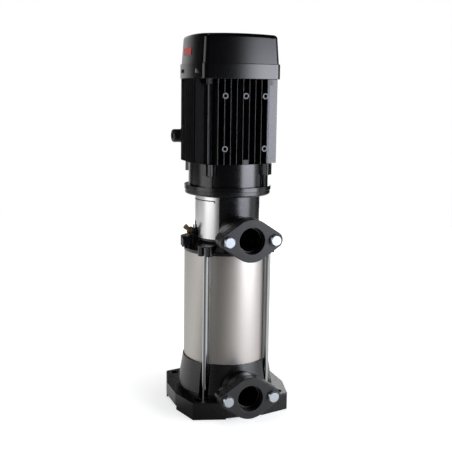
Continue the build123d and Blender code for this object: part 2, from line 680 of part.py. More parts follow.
def impeller():
    # Drawn with the floor of its chamber at zero; the blades sweep back from the eye to the rim.
    low = IMPELLER_RISE
    top = low + IMPELLER_HEIGHT
    shroud_low = CHAMBER_FLOOR + EYE_CLEARANCE * 2
    blades = []
    for k in range(IMPELLER_BLADES):
        blade = ring(BLADE_SWEEP_R + IMPELLER_BLADE_T / 2, BLADE_SWEEP_R - IMPELLER_BLADE_T / 2,
                     shroud_low + IMPELLER_SHROUD / 2, top - IMPELLER_SHROUD / 2, 0, BLADE_CENTRE_R)
        blade &= ring(IMPELLER_R - BLADE_INSET, IMPELLER_NECK_R - 1.5, shroud_low, top)
        blade &= block(0, IMPELLER_R, -IMPELLER_R, IMPELLER_R, shroud_low, top)
        blades.append(Rot(0, 0, 360 / IMPELLER_BLADES * k) * blade)
    body = ring(IMPELLER_R, PUMP_SHAFT_R + SLIP_FIT, top - IMPELLER_SHROUD, top)
    body += ring(IMPELLER_HUB_R, PUMP_SHAFT_R + SLIP_FIT, low, top)
    shroud = ring(IMPELLER_R, IMPELLER_NECK_R - 2, shroud_low, shroud_low + IMPELLER_SHROUD)
    shroud += ring(IMPELLER_NECK_R, IMPELLER_NECK_R - 2, 0, shroud_low + IMPELLER_SHROUD)
    return one(body.fuse(shroud, *blades))


plain_chamber = chamber()
plain_impeller = impeller()
for n in range(STAGE_COUNT):
    stage_z = FIRST_STAGE_Z + n * STAGE_PITCH
    parts["stage_chamber_%d" % (n + 1)] = Pos(0, 0, stage_z) * plain_chamber
    parts["impeller_%d" % (n + 1)] = Pos(0, 0, stage_z) * plain_impeller
spring = ring(STACK_R, STACK_R - SPRING_WALL, STACK_TOP_Z, HEAD_SPIGOT_Z)
for k in range(3):
    start = 360 / 3 * k
    spring -= wedge(STACK_R * 2, STACK_TOP_Z + SPRING_SLOT, STACK_TOP_Z + SPRING_SLOT * 2,
                    start, start + SPRING_SLOT_DEG)
    start += 360 / 6
    spring -= wedge(STACK_R * 2, HEAD_SPIGOT_Z - SPRING_SLOT * 2, HEAD_SPIGOT_Z - SPRING_SLOT,
                    start, start + SPRING_SLOT_DEG)
parts["stack_spring"] = one(spring)


# Pump shaft
# A collar on top, sleeves between the impellers, and one nut at the foot clamp them as one rotor.
shaft = cyl(PUMP_SHAFT_R, SHAFT_NUT_Z - SHAFT_TAIL, PUMP_SHAFT_TOP_Z)
shaft += cyl(SHAFT_COLLAR_R, COLLAR_Z, COLLAR_Z + SHAFT_COLLAR_T)
shaft = chamfer(shaft.edges().group_by(Axis.Z)[0], 1.0)
parts["pump_shaft"] = one(shaft)
spacers = [ring(SPACER_R, PUMP_SHAFT_R + SLIP_FIT, SHAFT_NUT_Z + SHAFT_NUT_HEIGHT,
                FIRST_STAGE_Z + IMPELLER_RISE)]
for n in range(STAGE_COUNT):
    low = FIRST_STAGE_Z + n * STAGE_PITCH + IMPELLER_RISE + IMPELLER_HEIGHT
    spacers.append(ring(SPACER_R, PUMP_SHAFT_R + SLIP_FIT, low, low + STAGE_PITCH - IMPELLER_HEIGHT))
parts["shaft_spacers"] = spacers
shaft_nut = hexagon(SHAFT_NUT_AF, SHAFT_NUT_Z, SHAFT_NUT_Z + SHAFT_NUT_HEIGHT)
parts["shaft_nut"] = one(shaft_nut - cyl(PUMP_SHAFT_R + SLIP_FIT, 0, STACK_BOTTOM_Z))


# Pump head
# One casting: sleeve spigot, lugs for the tie rods, discharge neck and flange, and the motor stool.
head = cyl(HEAD_LIP_R, SLEEVE_TOP_Z, SLEEVE_TOP_Z + HEAD_LIP_HEIGHT)
head = fillet(head.faces().sort_by(Axis.Z)[-1].edges(), HEAD_LIP_EDGE_R)
head += cyl(SPIGOT_R, HEAD_SPIGOT_Z, SLEEVE_TOP_Z + 1)
lip_z = SLEEVE_TOP_Z + HEAD_LIP_HEIGHT
shoulder_r = HEAD_LIP_R - HEAD_LIP_EDGE_R
head += turned([(0, lip_z - 1), (shoulder_r, lip_z - 1), (shoulder_r, lip_z),
                (STOOL_R + STOOL_FOOT, DOME_TOP_Z - 2),
                (STOOL_R - 1, DOME_TOP_Z + STOOL_FOOT / 2), (0, DOME_TOP_Z + STOOL_FOOT / 2)])
head += cyl(STOOL_R, lip_z, STOOL_TOP_Z)
flange = cyl(STOOL_FLANGE_R, STOOL_TOP_Z - STOOL_FLANGE_T, STOOL_TOP_Z)
flange = fillet(flange.faces().sort_by(Axis.Z)[0].edges(), STOOL_FLANGE_EDGE_R)
head += flange
lug = block(-LUG_WIDTH / 2, LUG_WIDTH / 2, -LUG_REACH_R, -STOOL_R + LUG_EDGE_R, SLEEVE_TOP_Z, LUG_TOP_Z)
lug = fillet(lug.edges().filter_by(Axis.Z).group_by(Axis.Y)[0], LUG_EDGE_R)
lug -= block(-LUG_GROOVE / 2, LUG_GROOVE / 2, -LUG_REACH_R - 1, -LUG_REACH_R + LUG_GROOVE_DEPTH,
             SLEEVE_TOP_Z - 1, LUG_TOP_Z - LUG_ROOF)
for k in range(4):
    head += Rot(0, 0, 45 + 90 * k) * lug
discharge_back_y = DISCHARGE_FACE_Y + COUNTER_FLANGE_T + GASKET_T
head += port_place(cyl(PORT_NECK_R, 0, -discharge_back_y), DISCHARGE_Z, 0) & block(
    -reach, reach, discharge_back_y, 0, SLEEVE_TOP_Z, STOOL_TOP_Z)
head += port_place(oval(PORT_FLANGE_T), DISCHARGE_Z, discharge_back_y + PORT_FLANGE_T)
plug_boss = along(cyl(PLUG_BOSS_R, 0, -PLUG_FACE_X), (0, 0, PLUG_Z), (-1, 0, 0))
head += plug_boss & block(-reach, 0, -reach, reach, SLEEVE_TOP_Z, STOOL_TOP_Z)
tilt = math.radians(VENT_TILT_DEG)
vent_axis = (-math.cos(tilt), 0, math.sin(tilt))
vent_base = (VENT_BASE_X, 0, VENT_BASE_Z)
vent_boss = along(cyl(VENT_BOSS_R, -VENT_BOSS_LENGTH, 0), vent_base, vent_axis)
head += vent_boss
gusset_root = STOOL_BORE_R + GUSSET_SINK
gusset_top = PLUG_Z + GUSSET_HEIGHT
gusset = slab([(-gusset_root, PLUG_Z), (-STOOL_R - GUSSET_FOOT, PLUG_Z),
               (-STOOL_R - GUSSET_KNEE, PLUG_Z + GUSSET_KNEE_RISE),
               (-STOOL_R - GUSSET_TIP, gusset_top), (-gusset_root, gusset_top)], -GUSSET_HALF, GUSSET_HALF)
head += Rot(0, 0, -GUSSET_TURN_DEG) * gusset
# The dry bore of the stool, left solid round the riser of the discharge
bore = cyl(STOOL_BORE_R, HEAD_FLOOR_Z, STOOL_TOP_Z + 1)
riser_block_y = RISER_Y + RISER_R + RISER_WALL
bore -= block(-PORT_BORE_R - RISER_WALL, PORT_BORE_R + RISER_WALL, -STOOL_BORE_R - 1, riser_block_y,
              HEAD_FLOOR_Z - 1, DISCHARGE_Z + PORT_BORE_R + RISER_WALL)
head -= bore
# The wet chamber under the head floor, with the hub that holds the seal seat
wet = cyl(HEAD_CAVITY_R, HEAD_SPIGOT_Z - 1, SLEEVE_TOP_Z + HEAD_LIP_HEIGHT - 2)
wet += cyl(HEAD_CAVITY_R - HEAD_CAVITY_STEP, SLEEVE_TOP_Z, HEAD_ROOF_Z)
wet -= cyl(SEAL_SEAT_R + SEAL_HUB_WALL, SEAL_FACE_Z - 1, HEAD_ROOF_Z + 1)
head -= wet
head -= cyl(SEAL_SEAT_R + SLIP_FIT, SEAL_FACE_Z - SEAL_LEAD, SEAL_FACE_Z + SEAL_SEAT_T)
head -= cyl(SEAL_PASSAGE_R, SEAL_FACE_Z - 1, HEAD_FLOOR_Z + 1)
# The discharge way: up the riser and out through the flange
head -= port_place(cyl(PORT_BORE_R, 0, RISER_Y - discharge_back_y + 1), DISCHARGE_Z, RISER_Y)
head -= cyl(RISER_R, HEAD_ROOF_Z - RISER_DROP, DISCHARGE_Z, 0, RISER_Y)
head -= Pos(0, RISER_Y, DISCHARGE_Z) * Sphere(RISER_R)
for hole in bolt_pair(FLANGE_BOLT_R + THREAD_FIT, PORT_FLANGE_T + 2):
    head -= port_place(hole, DISCHARGE_Z, discharge_back_y + PORT_FLANGE_T + 1)
# The two windows with the seats of the coupling guards
for side in (0, 180):
    start = WINDOW_CENTRE_DEG - WINDOW_HALF_DEG + side
    stop = WINDOW_CENTRE_DEG + WINDOW_HALF_DEG + side
    head -= sector(STOOL_R + 2, STOOL_BORE_R - 4, WINDOW_BOTTOM_Z, WINDOW_TOP_Z, start, stop)
    head -= sector(STOOL_R + 1, GUARD_R - GUARD_T, GUARD_BOTTOM_Z, GUARD_TOP_Z,
                   start - GUARD_LAP_DEG, stop + GUARD_LAP_DEG) - along(
        cyl(VENT_BOSS_R + VENT_SEAT_GAP, -VENT_BOSS_LENGTH, 0), vent_base, vent_axis)
for sx, sy in CORNERS:
    head -= cyl(TIE_ROD_R + THREAD_FIT, SLEEVE_TOP_Z - 1, TIE_ROD_TOP_Z, sx * TIE_OFFSET, sy * TIE_OFFSET)
head -= along(cyl(PLUG_COLLAR_R + PLUG_SPOT_MARGIN, 0, -PLUG_FACE_X), (PLUG_FACE_X, 0, PLUG_Z), (-1, 0, 0))
head -= along(cyl(PLUG_THREAD_R + THREAD_FIT, 0, PLUG_DEPTH + 1), (PLUG_FACE_X - 1, 0, PLUG_Z), (1, 0, 0))
head -= along(cyl(PLUG_DRILLING_R, 0, PLUG_DEPTH + PLUG_DRILLING_EXTRA), (PLUG_FACE_X, 0, PLUG_Z), (1, 0, 0))
head -= cyl(PLUG_DOWN_HOLE_R, HEAD_ROOF_Z - PLUG_DOWN_HOLE_LEAD, PLUG_Z, PLUG_DOWN_HOLE_X, 0)
head -= along(cyl(VENT_STEM_R + VENT_FIT, -VENT_STEM_LENGTH, 1), vent_base, vent_axis)
head -= along(cyl(VENT_NEEDLE_R + VENT_FIT, -VENT_DRILLING, 1), vent_base, vent_axis)
head -= ring(SPIGOT_R + 1, groove_r, UPPER_SEAL_Z - groove_half, UPPER_SEAL_Z + groove_half)
screw_spot = FLANGE_SCREW_CIRCLE_R / math.sqrt(2)
for sx, sy in CORNERS:
    head -= cyl(FLANGE_SCREW_R + THREAD_FIT, STOOL_TOP_Z - FLANGE_SCREW_DEPTH - 1, STOOL_TOP_Z + 1,
                sx * screw_spot, sy * screw_spot)
parts["pump_head"] = one(head)


# Coupling guards
# Two curved stainless sheets that spring into the window seats, each with one long pressed slot.
def guard(turn):
    start = WINDOW_CENTRE_DEG - WINDOW_HALF_DEG - GUARD_LAP_DEG + GUARD_END_GAP_DEG + turn
    stop = WINDOW_CENTRE_DEG + WINDOW_HALF_DEG + GUARD_LAP_DEG - GUARD_END_GAP_DEG + turn
    sheet = sector(GUARD_R, GUARD_R - GUARD_T + SLIP_FIT, GUARD_BOTTOM_Z + GUARD_EDGE_GAP,
                   GUARD_TOP_Z - GUARD_EDGE_GAP, start, stop)
    slot_z = GUARD_TOP_Z - GUARD_SLOT_DROP
    slot_start = start + GUARD_SLOT_INSET_DEG
    sheet -= sector(GUARD_R + 1, GUARD_R - GUARD_T - 1, slot_z, slot_z + GUARD_SLOT_HEIGHT,
                    slot_start, stop - GUARD_SLOT_INSET_DEG)
    sheet -= sector(GUARD_R + 1, GUARD_R - GUARD_T - 1, slot_z - GUARD_SLOT_HEIGHT * 1.6,
                    slot_z + GUARD_SLOT_HEIGHT, slot_start, slot_start + GUARD_SLOT_HOOK_DEG)
    sheet -= along(cyl(VENT_BOSS_R + VENT_SEAT_GAP + GUARD_EDGE_GAP, -VENT_BOSS_LENGTH, VENT_HEX_HEIGHT),
                   vent_base, vent_axis)
    notch = block(-STOOL_R - 9, 0, -GUSSET_HALF - 1, GUSSET_HALF + 1, GUARD_BOTTOM_Z - 5,
                  PLUG_Z + GUSSET_HEIGHT + 1)
    sheet -= Rot(0, 0, -GUSSET_TURN_DEG) * notch
    return one(sheet)


parts["coupling_guard_left"] = guard(0)
parts["coupling_guard_right"] = guard(180)


# Shaft seal
# A fixed ring pressed up into the head and a turning ring on the shaft.
parts["seal_seat"] = one(ring(SEAL_SEAT_R, SEAL_PASSAGE_R, SEAL_FACE_Z, SEAL_FACE_Z + SEAL_SEAT_T))
rotor_top = SEAL_FACE_Z - SEAL_FILM
seal_rotor = ring(SEAL_ROTOR_R, PUMP_SHAFT_R + SLIP_FIT, rotor_top - SEAL_ROTOR_HEIGHT, rotor_top)
groove_top = rotor_top - SEAL_GROOVE_TOP
seal_rotor -= ring(SEAL_ROTOR_R + 1, SEAL_ROTOR_R - 2, groove_top - SEAL_GROOVE, groove_top)
parts["seal_rotor"] = one(seal_rotor)


# Priming plug and vent screw
# A hexagon plug closes the filling hole; above it a bronze vent with a knurled knob on a needle.
plug = cyl(PLUG_THREAD_R, -PLUG_DEPTH, 0)
plug += cyl(PLUG_COLLAR_R, 0, PLUG_COLLAR_T)
plug += hexagon(PLUG_AF, PLUG_COLLAR_T, PLUG_COLLAR_T + PLUG_HEAD)
parts["priming_plug"] = one(along(plug, (PLUG_FACE_X, 0, PLUG_Z), (-1, 0, 0)))
vent = cyl(VENT_STEM_R, -VENT_STEM_LENGTH, 0)
vent += hexagon(VENT_AF, 0, VENT_HEX_HEIGHT)
vent += cyl(VENT_COLLAR_R, VENT_HEX_HEIGHT, VENT_HEX_HEIGHT + VENT_COLLAR_HEIGHT)
vent -= cyl(VENT_NEEDLE_R + VENT_FIT, -VENT_STEM_LENGTH - 1, VENT_HEX_HEIGHT + VENT_COLLAR_HEIGHT + 1)
parts["vent_body"] = one(along(vent, vent_base, vent_axis))
knob_low = VENT_HEX_HEIGHT + VENT_COLLAR_HEIGHT + VENT_KNOB_GAP
needle = cyl(VENT_NEEDLE_R, -VENT_STEM_LENGTH + 1, knob_low + VENT_KNOB_HEIGHT - 0.6)
parts["vent_needle"] = one(along(needle, vent_base, vent_axis))
knob = cyl(VENT_KNOB_R, knob_low, knob_low + VENT_KNOB_HEIGHT)
knob = chamfer(knob.edges(), 0.5)
knob -= cyl(VENT_NEEDLE_R + VENT_FIT, knob_low - 1, knob_low + VENT_KNOB_HEIGHT - 0.5)
parts["vent_knob"] = one(along(knob, vent_base, vent_axis))


# Coupling
# Two clamp shells join the pump shaft to the motor shaft, drawn together by four socket screws.
sleeve = cyl(COUPLING_R, COUPLING_BOTTOM_Z, COUPLING_TOP_Z)
sleeve = chamfer(sleeve.edges(), 1.0)
sleeve -= cyl(PUMP_SHAFT_R + SLIP_FIT, COUPLING_BOTTOM_Z - 1, MOTOR_SHAFT_BOTTOM_Z)
sleeve -= cyl(MOTOR_SHAFT_R + SLIP_FIT, MOTOR_SHAFT_BOTTOM_Z - SHAFT_END_GAP / 2, COUPLING_TOP_Z + 1)
sleeve -= block(-COUPLING_SPLIT / 2, COUPLING_SPLIT / 2, -COUPLING_R - 1, COUPLING_R + 1,
                COUPLING_BOTTOM_Z - 1, COUPLING_TOP_Z + 1)
coupling_screws = []
for y in (-COUPLING_SCREW_Y, COUPLING_SCREW_Y):
    for z in (COUPLING_BOTTOM_Z + COUPLING_SCREW_INSET, COUPLING_TOP_Z - COUPLING_SCREW_INSET):
        sleeve -= along(cyl(COUPLING_SCREW_R + THREAD_FIT, -COUPLING_R, COUPLING_R), (0, y, z), (1, 0, 0))
        sleeve -= along(cyl(COUPLING_SCREW_R * 1.8, COUPLING_SCREW_SEAT, COUPLING_R), (0, y, z), (1, 0, 0))
        screw = cyl(COUPLING_SCREW_R, -COUPLING_SCREW_TIP, COUPLING_SCREW_SEAT)
        screw_top = COUPLING_SCREW_SEAT + COUPLING_SCREW_HEAD
        screw += cyl(COUPLING_SCREW_R * 1.6, COUPLING_SCREW_SEAT, screw_top)
        screw -= hexagon(SOCKET_AF, screw_top - SOCKET_DEPTH, screw_top + 1)
        coupling_screws.append(one(along(screw, (0, y, z), (1, 0, 0))))
halves = sorted(sleeve.solids(), key=lambda s: s.center().X)
assert len(halves) == 2, len(halves)
parts["coupling_half_left"] = halves[0]
parts["coupling_half_right"] = halves[1]
parts["coupling_screws"] = coupling_screws


# Motor drive-end shield
# A round bell with a flange on the stool, four ribs with lugs for the long motor bolts, and a bearing hub.
bell = cyl(BELL_R, STOOL_TOP_Z, BELL_TOP_Z)
bell += cyl(BELL_FLANGE_R, STOOL_TOP_Z, STOOL_TOP_Z + BELL_FLANGE_T)
lug = block(-BELL_LUG_HALF, BELL_LUG_HALF, -BELL_LUG_HALF, BELL_LUG_HALF,
            BELL_TOP_Z - BELL_LUG_HEIGHT, BELL_TOP_Z)
lug = fillet(lug.edges().filter_by(Axis.Z), 2.0)
lug -= block(-BELL_LUG_HALF - 1, -MOTOR_BOLT_R * 1.4, -LUG_SLIT_HALF, LUG_SLIT_HALF,
             BELL_TOP_Z - BELL_LUG_HEIGHT - 1, BELL_TOP_Z + 1)
rib = block(-BELL_RIB_HALF, BELL_RIB_HALF, -BELL_RIB_HALF, BELL_RIB_HALF, STOOL_TOP_Z, BELL_TOP_Z - 2)
lug_spot = MOTOR_BOLT_OFFSET - 1.5
rib_spot = lug_spot - 2
for piece in four_corners(Pos(-lug_spot, -lug_spot, 0) * Rot(0, 0, 45) * lug):
    bell += piece
for piece in four_corners(Pos(-rib_spot, -rib_spot, 0) * Rot(0, 0, 45) * rib):
    bell += piece & cyl(BELL_FLANGE_R - 1.5, STOOL_TOP_Z, BELL_TOP_Z)
bell += cyl(STOOL_BORE_R - THREAD_FIT, STOOL_TOP_Z - BELL_SPIGOT, STOOL_TOP_Z + 1)
bell -= ring(BELL_R - BELL_WALL, BEARING_OUTER_R + REAR_HUB_WALL, BELL_FLOOR_TOP_Z, BELL_TOP_Z + 1)
bell -= cyl(BELL_R - BELL_WALL, DE_BEARING_Z + BEARING_WIDTH, BELL_TOP_Z + 1)
bell -= cyl(BEARING_OUTER_R + SLIP_FIT, DE_BEARING_Z, BELL_TOP_Z + 1)
bell -= cyl(MOTOR_SHAFT_R + 3, STOOL_TOP_Z - BELL_SPIGOT - 1, BELL_TOP_Z)
for piece in four_corners(cyl(MOTOR_BOLT_R + THREAD_FIT, BELL_TOP_Z - BELL_LUG_HEIGHT - 2, BELL_TOP_Z + 1,
                              -MOTOR_BOLT_OFFSET, -MOTOR_BOLT_OFFSET)):
    bell -= piece
for sx, sy in CORNERS:
    bell -= cyl(FLANGE_SCREW_R + BOLT_HOLE_CLEARANCE / 2, STOOL_TOP_Z - BELL_SPIGOT - 1, BELL_FLOOR_TOP_Z + 1,
                sx * screw_spot, sy * screw_spot)
parts["drive_end_shield"] = one(bell)

flange_screws = []
for sx, sy in CORNERS:
    x = sx * screw_spot
    y = sy * screw_spot
    screw = cyl(FLANGE_SCREW_R, STOOL_TOP_Z - FLANGE_SCREW_DEPTH, BELL_FLOOR_TOP_Z, x, y)
    screw_top = BELL_FLOOR_TOP_Z + FLANGE_SCREW_HEAD
    screw += cyl(FLANGE_SCREW_R * 1.7, BELL_FLOOR_TOP_Z, screw_top, x, y)
    screw -= hexagon(SOCKET_AF, screw_top - SOCKET_DEPTH, screw_top + 1, x, y)
    flange_screws.append(one(screw))
parts["motor_flange_screws"] = flange_screws


# Motor frame
# A round core with nine straight fins on each of four sides, notched corners for the long bolts,
# small drilled bosses on the port side and a pad for the terminal box behind.
def bulged_square(half, mid, radius=0.0):
    rim = [(-half, -half), (half, -half), (half, half), (-half, half)]
    middle = [(0, -mid), (mid, 0), (0, mid), (-mid, 0)]
    arcs = []
    for k in range(4):
        arcs.append(ThreePointArc(rim[k], middle[k], rim[(k + 1) % 4]))
    face = make_face(arcs)
    if radius > 0:
        face = fillet(face.vertices(), radius)
    return face


tips = bulged_square(FRAME_HALF - FIN_TIP_BACKSET, FRAME_MID)
envelope = extrude(Pos(0, 0, BELL_TOP_Z) * tips, amount=FRAME_HEIGHT)
fins = []
for n in range(FINS_PER_SIDE):
    x = (n - (FINS_PER_SIDE - 1) / 2) * FIN_PITCH
    fin = block(x - FIN_T / 2, x + FIN_T / 2, -FRAME_MID - 2, FRAME_MID + 2, BELL_TOP_Z, FRAME_TOP_Z)
    fins.append(fin)
    fins.append(Rot(0, 0, 90) * fin)
frame_body = (fins[0].fuse(*fins[1:]) & envelope) + cyl(FRAME_CORE_R, BELL_TOP_Z, FRAME_TOP_Z)
for x in BOSS_COLUMNS:
    for rise in (BOSS_RISE_LOW, BOSS_RISE_HIGH):
        if x == BOSS_COLUMNS[1] and rise == BOSS_RISE_LOW:
            continue
        boss = along(cyl(BOSS_R, BOSS_ROOT_Y, FRAME_MID - BOSS_BACKSET), (x, 0, BELL_TOP_Z + rise), (0, -1, 0))
        frame_body += boss
        frame_body -= along(cyl(BOSS_HOLE_R, 0, BOSS_HOLE_DEPTH + 1),
                            (x, -FRAME_MID + BOSS_HOLE_DEPTH, BELL_TOP_Z + rise), (0, -1, 0))
frame_body += block(BOSS_COLUMNS[1] - RIDGE_HALF, BOSS_COLUMNS[1] + RIDGE_HALF, -FRAME_MID + RIDGE_BACKSET,
                    -FRAME_CORE_R + RIDGE_HALF, BELL_TOP_Z, BELL_TOP_Z + RIDGE_HEIGHT)
frame_body += block(-TERMINAL_PAD_HALF_X, TERMINAL_PAD_HALF_X, BOSS_ROOT_Y * 2, TERMINAL_PAD_Y,
                    TERMINAL_Z - TERMINAL_PAD_HALF_Z, TERMINAL_Z + TERMINAL_PAD_HALF_Z)
frame_body -= cyl(FRAME_BORE_R, BELL_TOP_Z - 1, FRAME_TOP_Z + 1)
frame_body -= along(cyl(WIRE_HOLE_R, 0, TERMINAL_PAD_Y + 1), (0, 0, TERMINAL_Z), (0, 1, 0))
parts["motor_frame"] = one(frame_body)


# Stator, windings and rotor
core = ring(FRAME_BORE_R - SLIP_FIT, STATOR_BORE_R, STATOR_Z, STATOR_Z + STATOR_HEIGHT)
winding_low = STATOR_Z - WINDING_OVERHANG
winding_high = STATOR_Z + STATOR_HEIGHT + WINDING_OVERHANG
windings = ring(STATOR_SLOT_CIRCLE_R + WINDING_HALF_WIDTH, STATOR_SLOT_CIRCLE_R - WINDING_HALF_WIDTH,
                winding_low, STATOR_Z - 1)
windings = fillet(windings.faces().sort_by(Axis.Z)[0].edges(), 3.0)
windings += Pos(0, 0, winding_low + winding_high) * mirror(windings, Plane.XY)
for k in range(STATOR_SLOTS):
    a = math.radians(360 / STATOR_SLOTS * (k + 0.5))
    x = STATOR_SLOT_CIRCLE_R * math.cos(a)
    y = STATOR_SLOT_CIRCLE_R * math.sin(a)
    core -= cyl(STATOR_SLOT_R + SLIP_FIT, STATOR_Z - 1, STATOR_Z + STATOR_HEIGHT + 1, x, y)
    windings += cyl(STATOR_SLOT_R, STATOR_Z - 2, STATOR_Z + STATOR_HEIGHT + 2, x, y)
parts["stator_core"] = one(core)
parts["stator_windings"] = one(windings)
rotor = ring(STATOR_BORE_R - AIR_GAP, ROTOR_SHAFT_R + SLIP_FIT, STATOR_Z, STATOR_Z + STATOR_HEIGHT)
rotor += ring(STATOR_BORE_R - 4, STATOR_BORE_R - 10, STATOR_Z - 6, STATOR_Z + STATOR_HEIGHT + 6)
parts["rotor_core"] = one(rotor)
shaft = cyl(MOTOR_SHAFT_R, MOTOR_SHAFT_BOTTOM_Z, DE_BEARING_Z)
shaft += cyl(BEARING_SEAT_R, DE_BEARING_Z - 2, NDE_BEARING_Z + BEARING_WIDTH)
shaft += cyl(ROTOR_SHAFT_R, DE_BEARING_Z + BEARING_WIDTH, NDE_BEARING_Z)
shaft += cyl(FAN_SEAT_R, NDE_BEARING_Z, FAN_Z + FAN_HUB_HEIGHT + 2)
shaft = chamfer(shaft.edges().group_by(Axis.Z)[0], 1.0)
parts["motor_shaft"] = one(shaft)


# Ball bearings
# Two identical deep-groove bearings: outer rings in the shields, inner rings and balls on the shaft.
outer_rings = []
inner_rings = []
balls = []
for z in (DE_BEARING_Z, NDE_BEARING_Z):
    middle_z = z + BEARING_WIDTH / 2
    groove = Pos(0, 0, middle_z) * Torus(BEARING_PITCH_R, BALL_R + BALL_PLAY)
    outer_rings.append(one(ring(BEARING_OUTER_R, BEARING_PITCH_R + RACE_SPLIT, z, z + BEARING_WIDTH) - groove))
    inner_rings.append(one(ring(BEARING_PITCH_R - RACE_SPLIT, BEARING_SEAT_R + SLIP_FIT, z, z + BEARING_WIDTH)
                           - groove))
    for k in range(BALL_COUNT):
        x, y = bearing_point(BEARING_PITCH_R, 360 / BALL_COUNT * k)
        balls.append(Pos(x, y, middle_z) * Sphere(BALL_R))
parts["bearing_outer_rings"] = outer_rings
parts["bearing_inner_rings"] = inner_rings
parts["bearing_balls"] = balls


# Motor rear shield
# A disc with a bearing hub, corner lugs for the long bolts and four arms that carry the fan cover.
shield = cyl(REAR_SHIELD_R, FRAME_TOP_Z, SHIELD_TOP_Z)
shield += cyl(FRAME_BORE_R - SLIP_FIT, FRAME_TOP_Z - REAR_SPIGOT, FRAME_TOP_Z + 1)
shield += cyl(BEARING_OUTER_R + REAR_HUB_WALL, FRAME_TOP_Z, NDE_BEARING_Z + BEARING_WIDTH + 2)
rear_lug = block(-REAR_LUG_HALF, REAR_LUG_HALF, -REAR_LUG_HALF, REAR_LUG_HALF, FRAME_TOP_Z - REAR_LUG_DROP,
                 SHIELD_TOP_Z)
rear_lug = fillet(rear_lug.edges().filter_by(Axis.Z), 2.0)
lug_clear = NOTCH + REAR_LUG_HALF + 0.3
for piece in four_corners(Pos(-lug_clear, -lug_clear, 0) * rear_lug):
    shield += piece
web = block(-REAR_LUG_HALF, REAR_LUG_HALF, -lug_clear * math.sqrt(2), -BEARING_OUTER_R,
            FRAME_TOP_Z, SHIELD_TOP_Z)
for k in range(4):
    shield += Rot(0, 0, 45 + 90 * k) * web
arm_reach = COVER_HALF - COVER_WALL - 0.1
arm_half = COVER_ARM_WIDTH / 2
for y in (-COVER_SCREW_Y, COVER_SCREW_Y):
    shield += block(-arm_reach, arm_reach, y - arm_half, y + arm_half, FRAME_TOP_Z, COVER_SCREW_Z + arm_half)
shield -= ring(FAN_R + 3, BEARING_OUTER_R + REAR_HUB_WALL, SHIELD_TOP_Z, BAND_TOP_Z + 1)
shield -= cyl(BEARING_OUTER_R + SLIP_FIT, FRAME_TOP_Z - REAR_SPIGOT - 1, NDE_BEARING_Z + BEARING_WIDTH)
shield -= cyl(FAN_SEAT_R + 3, FRAME_TOP_Z, BAND_TOP_Z)
for piece in four_corners(cyl(MOTOR_BOLT_R + THREAD_FIT, FRAME_TOP_Z - REAR_LUG_DROP - 1, BAND_TOP_Z,
                              -MOTOR_BOLT_OFFSET, -MOTOR_BOLT_OFFSET)):
    shield -= piece
for piece in four_corners(cyl(MOTOR_BOLT_HEAD_R + 0.4, SHIELD_TOP_Z, BAND_TOP_Z,
                              -MOTOR_BOLT_OFFSET, -MOTOR_BOLT_OFFSET)):
    shield -= piece
for sx, sy in CORNERS:
    shield -= along(cyl(COVER_SCREW_R + THREAD_FIT, -COVER_SCREW_LENGTH - 4, 5),
                    (sx * arm_reach, sy * COVER_SCREW_Y, COVER_SCREW_Z), (sx, 0, 0))
parts["rear_shield"] = one(shield)

bolt = cyl(MOTOR_BOLT_R, BELL_TOP_Z - BELL_LUG_HEIGHT - 1, SHIELD_TOP_Z)
bolt += cyl(MOTOR_BOLT_HEAD_R, SHIELD_TOP_Z, SHIELD_TOP_Z + MOTOR_BOLT_HEAD)
bolt -= hexagon(MOTOR_BOLT_KEY_AF, SHIELD_TOP_Z + MOTOR_BOLT_HEAD / 2, SHIELD_TOP_Z + MOTOR_BOLT_HEAD + 1)
bolt = Pos(-MOTOR_BOLT_OFFSET, -MOTOR_BOLT_OFFSET, 0) * bolt
parts["motor_long_bolts"] = [one(p) for p in four_corners(bolt)]


# Fan
fan = ring(FAN_HUB_R, FAN_SEAT_R + SLIP_FIT, FAN_Z, FAN_Z + FAN_HUB_HEIGHT)
fan += ring(FAN_R, FAN_SEAT_R + SLIP_FIT, FAN_Z, FAN_Z + FAN_DISC_T)
for k in range(FAN_BLADES):
    blade = block(FAN_HUB_R - 1, FAN_R, -FAN_BLADE_T / 2, FAN_BLADE_T / 2, FAN_Z, FAN_Z + FAN_BLADE_HEIGHT)
    fan += Rot(0, 0, 360 / FAN_BLADES * k) * blade
parts["cooling_fan"] = one(fan)


# Fan cover
# A straight band screwed to the rear shield, and a tapered hood with a domed top and a slotted inlet.
def band_solid(shrink, z0, z1):
    face = bulged_square(COVER_HALF - shrink, COVER_HALF + COVER_BULGE - shrink, COVER_CORNER_R - shrink)
    return extrude(Pos(0, 0, z0) * face, amount=z1 - z0)


def hood_solid(grow):
    low = COVER_HALF - HOOD_INSET + grow
    high = low - HOOD_TAPER
    radius = COVER_CORNER_R - 1 + grow
    low_face = Pos(0, 0, BAND_TOP_Z) * bulged_square(low, low + COVER_BULGE, radius)
    high_face = Pos(0, 0, HOOD_TOP_Z) * bulged_square(high, high + COVER_BULGE, radius)
    body = loft([low_face, high_face])
    reach_r = high * math.sqrt(2) - 3
    ball = (reach_r ** 2 + HOOD_DROP ** 2) / (2 * HOOD_DROP)
    return body & Pos(0, 0, HOOD_TOP_Z + grow - ball) * Sphere(ball)


